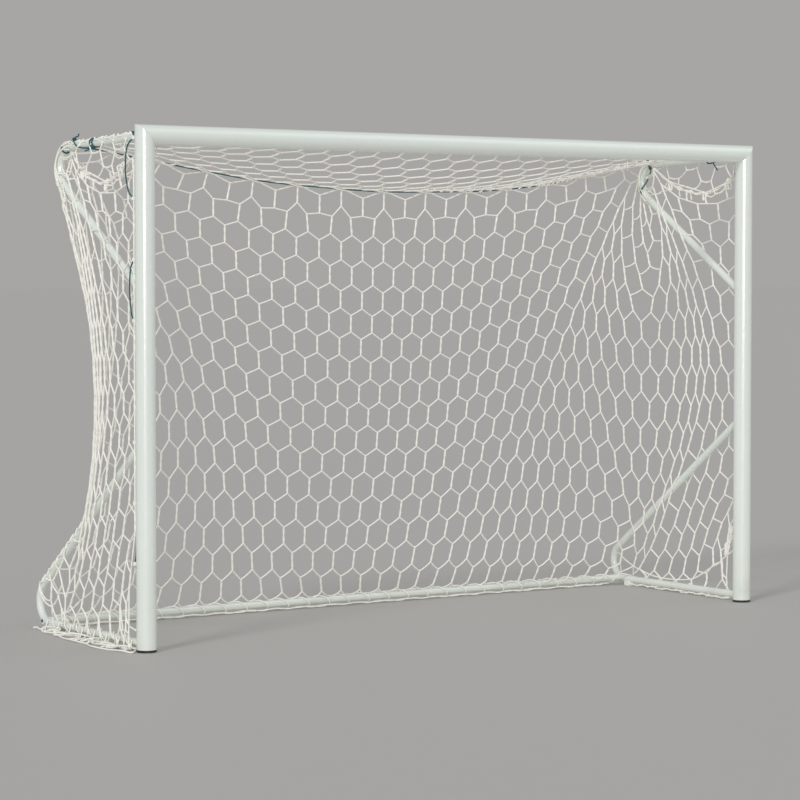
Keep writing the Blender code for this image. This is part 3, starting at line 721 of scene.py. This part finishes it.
def column_top(column):
    """Where a column starts: on the seam, at a bend or on the rope."""
    left, right = BENDS
    first, last = ROPE_COLUMNS
    if column <= left:
        return on_seam(-1, (left - column) / (left - FIRST))
    if column >= right:
        return on_seam(1, (column - right) / (LAST - right))
    if column < first:
        return behind_bend(-1, 40 - 60 * (first - column) / (first - left))
    if column > last:
        return behind_bend(1, 20 - 50 * (column - last) / (right - last))
    return on_rope(column)


def column_foot(column):
    """Where a column is laced down, on the ground bar or a floor run."""
    left, right = CORNERS
    if column < left:
        y = RUN_START - RUN_PITCHES[0] * (left - 1 - column)
        return (-FOOT_X, min(y, FOOT_LIMIT), FOOT_Z + 0.10 * max(0.0, -y))
    if column > right:
        y = RUN_START - RUN_PITCHES[1] * (column - right)
        return (FOOT_X, y, FOOT_Z + 0.9 * max(0.0, -y) ** 1.6)
    step = column + 0.5
    x = BAR_FOOT_X + BAR_FOOT_PITCH * step - BAR_FOOT_CLOSING * step * step
    return (max(-BAR_TIE_X, min(BAR_TIE_X, x)), BAR_TIE_Y, BAR_TIE_Z)


def on_lower_bracket(travelled):
    """A point on the outer back of the left lower bracket, so far down from its start."""
    start, turn = (0.071, 0.482), (0.460, 0.198)
    straight = math.dist(start, turn)
    if travelled < straight:
        y, z = between(start, turn, travelled / straight)
    else:
        a = math.radians(LOW_BEND_START) - (travelled - straight) / 0.104
        y, z = LOW_BEND_Y + WRAP_REACH * math.cos(a), LOW_BEND_Z + WRAP_REACH * math.sin(a)
    return (-1.548, y, z)


def at_post(side, row, low):
    """A tie of the edge column on the post's rope."""
    top, pitch, half = POST_TIES
    return (side * EDGE_X, EDGE_Y - 0.003, top - pitch * row - (half if low else -half))


def first_place(column, row, low):
    """A start for the fall: well outside the frame, so that the cords come to lie on it."""
    top, foot = column_top(column), column_foot(column)
    share = min(1.0, (row * ROW_SHARE + low) / (ROWS * ROW_SHARE - 0.55))
    place = between(top, foot, share)
    if not 0.02 < share < 1.0:
        return place
    side = -1 if column < MIDDLE else 1
    fade = min(1.0, share / START_FADE)
    out = min(1.0, max(0.0, abs(column - MIDDLE) - CORNER_SPAN)) * fade
    y = START_Y + START_BACK * share
    left, right = CORNERS
    if column < left:
        y += (START_POST_Y - y) * (left - column) / (left - FIRST)
    if column > right:
        y += (START_POST_Y - y) * (column - right) / (LAST - right)
    x = place[0] + (side * START_X - place[0]) * out
    return (x, place[1] + (y - place[1]) * fade, place[2])


def add_knots(column, row):
    """Both knots of one upright cord, tied where the real one is."""
    side = -1 if column < MIDDLE else 1
    edge = column in (FIRST, LAST)
    loose = column < LOOSE_COLUMN and not edge
    for low in (0, 1):
        place = first_place(column, row, low)
        tied = False
        if row % 2 == 0 and edge:
            place, tied = at_post(side, row, low), row < POST_ROWS
        if column in WRAP_COLUMNS and row >= WRAP_ROW:
            travelled = WRAP_STEP * (row - WRAP_ROW) + WRAP_HALF * low
            place, tied = on_lower_bracket(travelled), True
        if row == 0 and not low:
            if ROPE_COLUMNS[0] <= column <= ROPE_COLUMNS[1]:
                tied = column % 2 == 1
                if not tied:
                    place = (place[0], place[1] - 0.012, place[2] - 0.03)
            else:
                place, tied = column_top(column), True
        if column > CORNERS[1] and row == ROWS - 1 and not edge:
            x, y, z = column_foot(column)
            place = (x - 0.004, y, 0.045) if low else (x + 0.008, y, z + 0.004)
            tied = not low or z < 0.11
        if loose and not tied and row + low > LOOSE_ROW:
            x, y, z = column_foot(column)
            fall = (row - LOOSE_ROW) * 2 + low
            place = (x + side * 0.03 * fall, y + 0.01, 0.02)
        knot((column, row, low), place, tied)
    if loose and row == LOOSE_ROW and abs(column - WRAP_COLUMNS[1]) > 1.2:
        foot = column_foot(column)
        knot((column, "tie"), foot, True)
        reach = 0.045 + 0.09 * (max(0.0, -foot[1]) / 0.4) ** 2
        net_cords.append(((column, row, 0), (column, "tie"), reach))


def columns_of(row, first, last):
    """The columns of a row: whole numbers on even rows, halves on odd ones."""
    column = first + (0.5 if row % 2 else 0.0)
    while column <= last:
        yield column
        column += 1


def build_walls():
    """Back and sides in one strip, from post to post."""
    left, right = BENDS
    first, last = ROPE_COLUMNS
    for row in range(ROWS):
        for column in columns_of(row, FIRST, LAST):
            add_knots(column, row)
    for row in range(ROWS):
        for column in columns_of(row, FIRST, LAST):
            top, low = (column, row, 0), (column, row, 1)
            gathered = row == 0 and (left <= column < first or last < column <= right)
            net_cords.append((top, low, GATHERED_UPRIGHT if gathered else UPRIGHT))
            for half in (-0.5, 0.5):
                if (column + half, row + 1, 0) in knot_names:
                    net_cords.append((low, (column + half, row + 1, 0), SLANT))
            if row == 0 and column < LAST:
                length = ROPE_MESH if first <= column < last else 2 * SLANT
                if left <= column < first or last <= column < right:
                    ends = (first - 1, last, left, right - 1)
                    length = GATHER_END if column in ends else GATHERED_MESH
                net_cords.append((top, (column + 1, 0, 0), length))
            if column in (FIRST, LAST) and row % 2 == 0 and row + 2 < ROWS:
                net_cords.append((low, (column, row + 2, 0), BORDER))
            if row == ROWS - 1 and column < LAST:
                hem = (column + 0.5, "hem")
                x, y, z = column_foot(column + 0.5)
                loose = column + 0.5 < LOOSE_COLUMN
                if loose:
                    x, y, z = x - 0.09, y + 0.02, 0.01
                elif column > CORNERS[1]:
                    x, z = x + 0.012, 0.030
                knot(hem, (x, y, z), not loose)
                net_cords.append((low, hem, SLANT))
                net_cords.append(((column + 1, row, 1), hem, SLANT))


# Net roof
# The same mesh, its columns running from the crossbar's rope back to the support rope. At
# both sides it lies over the bracket's arm and is sewn to the side's top edge.
ROOF_ROWS = 6
ROOF_SLANT = 0.0687
ROOF_FIRST, ROOF_LAST = -6, 24
ON_ARMS = (-4, -3.5, 22, 21.5)
ROOF_MIDDLE = 9
BAR_PITCH = 0.119
BAR_MESH = 0.1195
ROOF_TOP = 2.058
SEAM_CORD = 0.014
SEAM_SLACK, ROPE_SLACK = 0.045, 0.004
HANG_FROM, HANG_OVER, HANG_X = 12.4, 2.6, 1.53


def on_crossbar(column):
    """Where a roof column hangs on the rope behind the crossbar."""
    x = BAR_PITCH * (column - ROOF_MIDDLE) - 0.03
    return (max(-ROPE_LIMIT, min(ROPE_LIMIT, x)), BAR_ROPE_Y, 2.017)


def build_roof():
    """The roof, its rear edge on the support rope."""
    for row in range(ROOF_ROWS):
        for column in columns_of(row, ROOF_FIRST, ROOF_LAST):
            side = -1 if column < MIDDLE else 1
            beyond = max(0.0, abs(column - ROOF_MIDDLE) - HANG_FROM)
            hang = min(1.0, beyond / HANG_OVER)
            for low in (0, 1):
                share = (row * 1.5 + low + 0.1) / (ROOF_ROWS * 1.5 + 0.1)
                place = between(on_crossbar(column), column_top(column), share)
                if beyond:
                    over = (side * HANG_X, place[1], ROOF_TOP)
                    place = between(over, on_seam(side, 1 - share), hang)
                tied = row == 0 and not low
                if tied and beyond:
                    place = between(on_crossbar(column), on_seam(side, 1.0), hang)
                if column in ON_ARMS and not tied:
                    station = -ARM_LENGTH * (1 - share)
                    place, tied = on_upper(side, station, 12, CORD_THICKNESS / 2), True
                knot(("roof", column, row, low), place, tied)
    for row in range(ROOF_ROWS):
        for column in columns_of(row, ROOF_FIRST, ROOF_LAST):
            top, low = ("roof", column, row, 0), ("roof", column, row, 1)
            net_cords.append((top, low, UPRIGHT))
            if row == 0 and column < ROOF_LAST:
                net_cords.append((top, ("roof", column + 1, 0, 0), BAR_MESH))
            for half in (-0.5, 0.5):
                below = ("roof", column + half, row + 1, 0)
                if below in knot_names:
                    net_cords.append((low, below, ROOF_SLANT))
                if row == ROOF_ROWS - 1:
                    end = (column + half, 0, 0)
                    if ROPE_COLUMNS[0] <= column + half <= ROPE_COLUMNS[1]:
                        end = ("rope", column + half)
                        knot(end, on_rope(column + half), True)
                    if end in knot_names:
                        extra = ROPE_SLACK if end[0] == "rope" else SEAM_SLACK
                        net_cords.append((low, end, ROOF_SLANT + extra))
            if column in (ROOF_FIRST, ROOF_LAST) and row % 2 == 0:
                bend, post = (BENDS[0], FIRST) if column < MIDDLE else (BENDS[1], LAST)
                for part in (0, 1):
                    share = 1 - (row * 1.5 + part) / (ROOF_ROWS * 1.5 - 0.5)
                    partner = round(bend + (post - bend) * share)
                    net_cords.append((("roof", column, row, part), (partner, 0, 0), SEAM_CORD))


# Fall
# The cords fall in small steps, slack at first, and come to lie on the frame's tubes. Then
# the back is shifted a little, because its cords have crept since it was hung.
POST_Y, POST_RADIUS = -0.46, 0.040
POST_TOP, BAR_Z = 2.0, 2.04
JOINT_Y = -0.42
UPPER_JOINTS = (2.037, 1.429)
LOWER_JOINTS = (0.819, 0.030)
BAR_PLACE = (0.424, 0.0338)
BAR_END = 1.53
BAR_RADIUS = 0.015
TUBE_GAP = 0.003
FALL_STEPS = 700
FALL_ROUNDS = 6
SPEED_KEPT = 0.97
FIRST_PULL, LATER_PULL = 3e-4, 1.2e-5
FIRST_SHARE, SLACK_SHARE = 0.35, 0.3
FIRST_SLACK = 0.30
CREEP, CREEP_X, CREEP_WIDTH = 0.032, -0.2, 0.55
SPREAD, DIP = 0.040, 0.035


def bracket_axis(x, joints, bend, start, sweep):
    """The axis of one bracket, from joint to joint round its bend."""
    line = [(x, JOINT_Y, joints[0])]
    for k in range(7):
        a = math.radians(start - sweep * k / 6)
        line.append((x, bend[0] + BEND_RADIUS * math.cos(a), bend[1] + BEND_RADIUS * math.sin(a)))
    line.append((x, JOINT_Y, joints[1]))
    return line


def frame_tubes():
    """Axis ends and radius of each straight length of tube."""
    tubes = []
    low_bend = (LOW_BEND_Y, LOW_BEND_Z)
    for side in (-1, 1):
        x = side * BRACKET_X
        upper = bracket_axis(x, UPPER_JOINTS, (BEND_Y, BEND_Z), 90, BEND_SWEEP)
        lower = bracket_axis(x, LOWER_JOINTS, low_bend, LOW_BEND_START, LOW_BEND_SWEEP)
        for line in (upper, lower):
            tubes.extend((a, b, TUBE_RADIUS) for a, b in zip(line, line[1:]))
        tubes.append(((x, POST_Y, 0.0), (x, POST_Y, POST_TOP), POST_RADIUS))
    tubes.append(((-BAR_END, *BAR_PLACE), (BAR_END, *BAR_PLACE), BAR_RADIUS))
    tubes.append(((-BRACKET_X, POST_Y, BAR_Z), (BRACKET_X, POST_Y, BAR_Z), POST_RADIUS))
    return tubes


def matched_groups(pairs, count):
    """Splits the half cords into groups in which no two share a point."""
    taken = [set() for _ in range(count)]
    groups = []
    for k, (a, b) in enumerate(pairs):
        group = 0
        while group in taken[a] or group in taken[b]:
            group += 1
        taken[a].add(group)
        taken[b].add(group)
        if group == len(groups):
            groups.append([])
        groups[group].append(k)
    return [np.array(group) for group in groups]


def let_fall():
    """Lets the net fall until it hangs: cords may go slack and can't stretch."""
    places = list(knot_places)
    pairs, lengths = [], []
    for a, b, length in net_cords:
        a, b = knot_names[a], knot_names[b]
        middle = len(places)
        places.append(between(places[a], places[b], 0.5))
        pairs += [(a, middle), (middle, b)]
        lengths += [length / 2, length / 2]
    x = np.array(places, float)
    free = np.ones(len(places))
    free[:len(knot_tied)] = [0.0 if tied else 1.0 for tied in knot_tied]
    pairs, lengths = np.array(pairs), np.array(lengths)
    groups = []
    for group in matched_groups(pairs, len(places)):
        a, b = pairs[group].T
        weight = free[a] + free[b]
        group, a, b, weight = (v[weight > 0] for v in (group, a, b, weight))
        shares = (free[a] / weight)[:, None], (free[b] / weight)[:, None]
        groups.append((a, b, lengths[group], *shares))
    tubes = [(np.array(a), np.array(b) - np.array(a), r + TUBE_GAP) for a, b, r in frame_tubes()]
    moving = free > 0
    before = x.copy()
    for step in range(FALL_STEPS):
        speed = (x - before) * SPEED_KEPT
        before = x.copy()
        x[moving] += speed[moving]
        x[moving, 2] -= FIRST_PULL if step < FIRST_SHARE * FALL_STEPS else LATER_PULL
        slack = 1.0 + FIRST_SLACK * max(0.0, 1.0 - step / (SLACK_SHARE * FALL_STEPS))
        for _ in range(FALL_ROUNDS):
            for a, b, length, share_a, share_b in groups:
                d = x[b] - x[a]
                gap = np.sqrt((d * d).sum(1))
                d *= (np.maximum(gap - length * slack, 0.0) / np.maximum(gap, 1e-9))[:, None]
                x[a] += d * share_a
                x[b] -= d * share_b
        for start, along, reach in tubes:
            d = x - start
            t = np.clip(d @ along / (along @ along), 0.0, 1.0)
            d -= t[:, None] * along
            gap = np.sqrt((d * d).sum(1))
            hit = (gap < reach) & moving
            x[hit] += d[hit] * ((reach - gap[hit]) / np.maximum(gap[hit], 1e-6))[:, None]
        x[moving, 2] = np.maximum(x[moving, 2], KNOT_SIZE)
    return x


def drifted(x):
    """Shifts the back by the few centimetres that its cords have crept since it was hung."""
    rope = np.array([rope_height(v) for v in x[:, 0]])
    share = np.clip((x[:, 2] - 0.05) / (rope - 0.05), 0.0, 1.0)
    free = np.clip(1.0 - (x[:, 0] / 1.5) ** 2, 0.0, 1.0)
    middle = 4 * share * (1 - share)
    lower = middle * (1 - 2 * share)
    swell = CREEP * np.exp(-((x[:, 0] - CREEP_X) / CREEP_WIDTH) ** 2)
    swell += free * (0.004 - 0.019 * x[:, 0] ** 2)
    x[:, 2] += free * (SPREAD * lower + DIP * x[:, 0] ** 2 * middle)
    x[:, 0] += middle * swell + SPREAD * x[:, 0] * lower * free
    return x


build_walls()
build_roof()
hung = drifted(let_fall())


def cord_line(index):
    """The line of one net cord: a smooth bow through its fallen middle."""
    a, b, length = net_cords[index]
    start, end = hung[knot_names[a]], hung[knot_names[b]]
    middle = hung[len(knot_places) + index]
    lift = 2 * middle - (start + end) / 2
    line = []
    for k in range(5):
        t = k / 4
        line.append((1 - t) ** 2 * start + 2 * t * (1 - t) * lift + t * t * end)
        line[-1][2] = max(line[-1][2], KNOT_SIZE)
    return line


def paired_lines(line):
    """Two cords twisted round each other along a line, as an upright is braided."""
    line = resampled(line, math.dist(line[0], line[-1]) / PAIR_BENDS)
    along = Vector(line[-1] - line[0]).normalized()
    across = along.orthogonal().normalized()
    other = along.cross(across)
    strands = []
    for strand in (0, 1):
        places = []
        for k, place in enumerate(line):
            a = 2 * math.pi * k / (len(line) - 1) + math.pi * strand
            places.append(Vector(place) + PAIR_GAP * (math.cos(a) * across + math.sin(a) * other))
        strands.append(places)
    return strands


def net_part(cord):
    """The piece of the net that a cord belongs to."""
    column = cord[0][0]
    if column == "roof":
        return "net_top"
    if column < CORNERS[0]:
        return "net_left"
    if column > CORNERS[1]:
        return "net_right"
    return "net_back"


part_lines = {}
part_knots = {}
for index, cord in enumerate(net_cords):
    part = net_part(cord)
    upright = cord[0][:-1] == cord[1][:-1] and cord[2] == UPRIGHT
    lines = paired_lines(cord_line(index)) if upright else [cord_line(index)]
    part_lines.setdefault(part, []).extend(lines)
    for end in cord[:2]:
        part_knots.setdefault(part, {})[end] = hung[knot_names[end]]
for part, lines in part_lines.items():
    piece = cord_piece(
        part + "_cords",
        lines,
        CORD_THICKNESS,
        net_material,
        points=list(part_knots[part].values()),
        bead=KNOT_SIZE,
    )
    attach(piece, "root")
    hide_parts(part)


# Seams, gathered cords, lacing and loose hem
# The same cord sews roof and sides together with bulky knots, gathers the net over the
# bends, is wound round the ground bar and the floor runs, and lies bunched on the floor.
SEAM_STEPS, SEAM_TURN, SEAM_REACH = 60, 0.55, 0.0035
SEAM_KNOTS = (
    (-1, 0.31, 1.0), (-1, 0.62, 0.8), (-1, 0.82, 1.5), (-1, 0.87, 1.2),
    (1, 0.33, 1.1), (1, 0.45, 0.8), (1, 0.84, 1.0),
)
LEFT_GATHER = ((-0.030, 0.250, 26), (-80, 24, 16, 24, 1.9), (0.0036, 0.0016, 3, 0.0014))
RIGHT_GATHER = ((-0.020, 0.260, 24), (-100, 36, 12, 22, 1.7), (0.0038, 0.0012, 2, 0.0))
BEND_LOOPS = ((0.206, 1.842, 0.015), (0.186, 1.815, 0.018), (0.170, 1.800, 0.011))
WOUND_START, WOUND_STEP, WOUND_POINTS, WOUND_REACH = -1.42, 0.0108, 255, 0.0056
ROPE_LOOPS = ((1.50, 0.20, 0.012), (1.51, 0.85, 0.016))
LOW_SEAM_X = 1.569
LOW_SEAM = (
    (0.489, 0.150), (0.440, 0.120), (0.372, 0.092), (0.310, 0.075), (0.242, 0.060), (0.166, 0.052),
    (0.076, 0.052), (-0.028, 0.060), (-0.108, 0.079), (-0.216, 0.136), (-0.259, 0.154),
    (-0.308, 0.190), (-0.345, 0.212), (-0.405, 0.250),
)


def gathered_cord(side, k, span, turns, rises):
    """A cord gathered over an upper bend, winding to and fro; k tells the cords apart."""
    first, length, steps = span
    start, spread, swing, pace, phase = turns
    low, layer, layers, wave = rises
    line = []
    for step in range(steps + 1):
        station = first + length * step / steps
        turn = start + spread * k + swing * math.sin(pace * station + phase * k)
        rise = low + layer * (k % layers) + wave * math.sin(37 * station + 2 * k)
        line.append(on_upper(side, station, turn, rise))
    return line


def slack_loop(x, y, z, wide, high, phase=0.0, sway=0.0):
    """A slack loop of cord in the plane of a side."""
    line = []
    for k in range(13):
        a = 0.5 * k + phase
        line.append((x + sway * math.sin(k), y + wide * math.cos(a), z + high * math.sin(a)))
    return line


def round_rope(x, reach, angle, up=0.0):
    """A point round the support rope."""
    return (x, ROPE_Y + reach * math.cos(angle), rope_height(x) + up + reach * math.sin(angle))


sewn = []
for side in (-1, 1):
    for strand in (0, 1):
        line = []
        for k in range(SEAM_STEPS + 1):
            x, y, z = on_seam(side, k / SEAM_STEPS)
            a = SEAM_TURN * k + math.pi * strand
            line.append((x + SEAM_REACH * math.cos(a), y, z + SEAM_REACH * math.sin(a)))
        sewn.append(line)
for side, share, size in SEAM_KNOTS:
    x, y, z = on_seam(side, share)
    sewn.append(stop_knot((x, y, z), 0.0075 * size, (0.2, 1, 0.3)))
    sewn.append(stop_knot((x, y + 0.006, z + 0.004), 0.0062 * size, (1, 0.2, 0.1)))
    end = (x + side * 0.006, y + 0.007, z - 0.034)
    sewn.append(smooth_line([(x, y, z), (x + side * 0.004, y + 0.010, z - 0.014), end]))
sewn += [gathered_cord(-1, k, *LEFT_GATHER) for k in range(9)]
sewn += [gathered_cord(1, k, *RIGHT_GATHER) for k in range(4)]
for k, (y, z, size) in enumerate(BEND_LOOPS):
    sewn.append(slack_loop(-1.566 - 0.004 * k, y, z, 0.7 * size, size))
wound = []
for k in range(WOUND_POINTS):
    x = WOUND_START + WOUND_STEP * k
    turn = (x - ROPE_START) / (2 * ROPE_PITCH)
    wound.append(round_rope(x, WOUND_REACH, math.radians(225) + 2 * math.pi * turn))
sewn.append(wound)
for first, last, wide in ROPE_LOOPS:
    line = []
    count = int(abs(last - first) / 0.010)
    for k in range(count + 1):
        reach = wide * (1.0 - 0.6 * k / count) + 0.002 * math.sin(2.7 * k)
        line.append(round_rope(first + (last - first) * k / count, reach, (1.05 + 9 * wide) * k, 0.005))
    sewn.append(smooth_line(line, 2))
sewn.append(smooth_line([(LOW_SEAM_X, y, z) for y, z in LOW_SEAM], 5))
for k in range(5):
    y, z, size = -0.318 - 0.008 * k, 0.215 + 0.026 * k, 0.011 + 0.004 * (k % 2)
    sewn.append(stop_knot((LOW_SEAM_X - 0.001, y, z), size * 0.6, (1, 0.3, 0.2 * k)))
    sewn.append(slack_loop(LOW_SEAM_X + 0.001, y, z, size, 1.5 * size, k, 0.003))
sewn_piece = cord_piece("seam_cords", sewn, CORD_THICKNESS, net_material)

LACING_PITCH = 0.107
LACING_STEPS = 14
RUN_Z = 0.030
UNDER_RUN, UNDER_BAR = (60, 0.37, -0.0128), (160, -1.46, 0.0183)


def lacing_line(start, end, axis_at, radius):
    """A cord wound round a tube: steep over its top, and along it where it is below."""
    steps = int(abs(end - start) / LACING_PITCH * LACING_STEPS)
    line = []
    for k in range(steps + 1):
        a = 2 * math.pi * k / LACING_STEPS
        turns = (a - 0.85 * math.cos(a)) / (2 * math.pi)
        along = start + (end - start) * turns * LACING_STEPS / steps
        reach = radius + CORD_THICKNESS / 2 + 0.001 * (1 + math.sin(3.1 * k))
        line.append(axis_at(along, reach * math.cos(a), reach * math.sin(a)))
    return smooth_line(line, 2)


def by_bar(x, out, up):
    """A point beside the ground bar."""
    return (x, BAR_PLACE[0] + out, BAR_PLACE[1] + up)


def by_left_run(y, out, up):
    """A point beside the left floor run."""
    return (-BRACKET_X + out, y, RUN_Z + max(up, -0.0215))


def under_run(side, phase):
    """A slack hem cord on the floor, half under a run."""
    count, start, step = UNDER_RUN
    line = []
    for k in range(count):
        x = side * (1.532 + 0.012 * math.sin(1.3 * k + phase))
        line.append((x, start + step * k, 0.009 + 0.0035 * math.sin(0.9 * k + 2 * phase)))
    return line


def under_bar(phase):
    """The same along the ground bar."""
    count, start, step = UNDER_BAR
    line = []
    for k in range(count):
        y = 0.415 + 0.009 * math.sin(1.1 * k + phase)
        line.append((start + step * k, y, 0.009 + 0.0025 * math.sin(0.8 * k + 2 * phase)))
    return line


laced = [
    lacing_line(-1.50, 1.50, by_bar, BAR_RADIUS),
    lacing_line(0.385, -0.40, by_left_run, TUBE_RADIUS),
    under_run(1, 0.0), under_run(1, 2.2), under_run(-1, 1.0), under_bar(0.4), under_bar(2.9),
]
lacing = cord_piece("lacing_cord", laced, CORD_THICKNESS * 0.85, net_material)

HEM_X = -1.566
HEM_START, HEM_LENGTH, HEM_STEPS = 0.360, 0.75, 32
HEM_PACE = 44
HEM_LOOP = 0.034
HEM_LINE = (
    (-1.580, 0.385), (-1.590, 0.365), (-1.604, 0.310), (-1.618, 0.210), (-1.630, 0.100),
    (-1.640, -0.020), (-1.650, -0.130), (-1.656, -0.230), (-1.652, -0.330), (-1.634, -0.415),
    (-1.604, -0.468), (-1.588, -0.440),
)
HEM_DROP = ((-1.556, 0.0, 0.040), (-1.566, 0.01, 0.026), (-1.580, 0.02, 0.010), (-1.604, 0.035, 0.008))
HEM_END = ((-1.580, 0.350, 0.008), (-1.590, 0.390, 0.006), (-1.584, 0.420, 0.009), (-1.592, 0.442, 0.006))


def hem_cord(k):
    """A cord that loops to and fro between the floor run and the outermost cord."""
    outline = HEM_LINE[:10]
    line = []
    for step in range(HEM_STEPS + 1):
        y = HEM_START - HEM_LENGTH * step / HEM_STEPS
        outer = np.interp(-y, [-p[1] for p in outline], [p[0] for p in outline])
        angle = HEM_PACE * y + 1.57 * k
        centre = 0.45 + 0.22 * math.sin(9.1 * y + 1.3 * k)
        share = min(0.98, max(0.02, centre + 0.46 * math.sin(angle + 0.8 * math.sin(11 * y))))
        lift = 0.005 + 0.006 * k * (0.6 + 0.4 * math.sin(29 * y))
        line.append((HEM_X + (outer - HEM_X) * share, y + HEM_LOOP * math.sin(angle + 1.5), lift))
    return smooth_line(line, 3)


outermost = []
for k, (x, y) in enumerate(HEM_LINE):
    outermost.append((x + 0.010 * math.sin(2.4 * k), y, 0.0045 + 0.003 * (k % 2)))
hem = [smooth_line(outermost)] + [hem_cord(k) for k in range(4)]
for k in range(8):
    y = 0.38 - LACING_PITCH * k
    hem.append(smooth_line([(x, y - back, z) for x, back, z in HEM_DROP]))
hem.append(smooth_line(HEM_END))
hem_piece = cord_piece("loose_hem", hem, CORD_THICKNESS, net_material)
for piece in (sewn_piece, lacing, hem_piece):
    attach(piece, "root")


# Floor and light
# A plain pale floor that meets a backdrop of its own tone, a soft sun and an even sky.
FLOOR_TONE = (0.50, 0.49, 0.47, 1.0)
BOUNCE_TONE = (0.66, 0.64, 0.60, 1.0)
BACKDROP_TONE = (0.387, 0.380, 0.369, 1.0)
SKY_TONE = (0.97, 0.98, 1.0, 1.0)
SKY_STRENGTH = 0.53
FLOOR_REACH = 400


def straight_rays(tree):
    """1 for rays from the camera, off gloss or through glass, and 0 for the light's own."""
    rays = tree.nodes.new("ShaderNodeLightPath").outputs
    direct = rays["Is Camera Ray"]
    for kind in ("Is Glossy Ray", "Is Transmission Ray"):
        direct = math_node(tree, "MAXIMUM", direct, rays[kind])
    return direct


def floor_material():
    material, tree, shader = new_material("pale_floor")
    mix = tree.nodes.new("ShaderNodeMix")
    mix.data_type = "RGBA"
    first, second = [socket for socket in mix.inputs if socket.type == "RGBA"]
    first.default_value, second.default_value = BOUNCE_TONE, FLOOR_TONE
    feed(tree, mix, (0, straight_rays(tree)))
    result = next(socket for socket in mix.outputs if socket.type == "RGBA")
    feed(tree, shader, ("Base Color", result), ("Roughness", 0.65))
    return material


floor_mesh = bpy.data.meshes.new("floor")
floor_corners = [(FLOOR_REACH * x, FLOOR_REACH * y, 0) for x, y in ((-1, -1), (1, -1), (1, 1), (-1, 1))]
floor_mesh.from_pydata(floor_corners, [], [(0, 1, 2, 3)])
floor_mesh.materials.append(floor_material())
floor = new_object("floor", floor_mesh)


def sun_lamp(name, azimuth, height, strength, softness):
    """A soft sun that shines from an azimuth (0 from the front, -90 from the left)."""
    data = bpy.data.lights.new(name, "SUN")
    data.energy = strength
    data.angle = math.radians(softness)
    new_object(name, data).rotation_euler = (math.radians(90 - height), 0.0, math.radians(azimuth))


sun_lamp("key", -62, 38, 0.85, 12)
sun_lamp("fill", 60, 35, 0.25, 40)
sun_lamp("window", -34, 4, 0.90, 20)
world = bpy.data.worlds.new("world")
world.use_nodes = True
bpy.context.scene.world = world
world_tree = world.node_tree
sky = world_tree.nodes["Background"]
feed(world_tree, sky, ("Color", SKY_TONE), ("Strength", SKY_STRENGTH))
backdrop = world_tree.nodes.new("ShaderNodeBackground")
feed(world_tree, backdrop, ("Color", BACKDROP_TONE), ("Strength", 1.0))
choice = world_tree.nodes.new("ShaderNodeMixShader")
sources = (straight_rays(world_tree), sky.outputs[0], backdrop.outputs[0])
feed(world_tree, choice, *enumerate(sources))
feed(world_tree, world_tree.nodes["World Output"], ("Surface", choice.outputs[0]))
bpy.context.scene.view_settings.view_transform = "Standard"
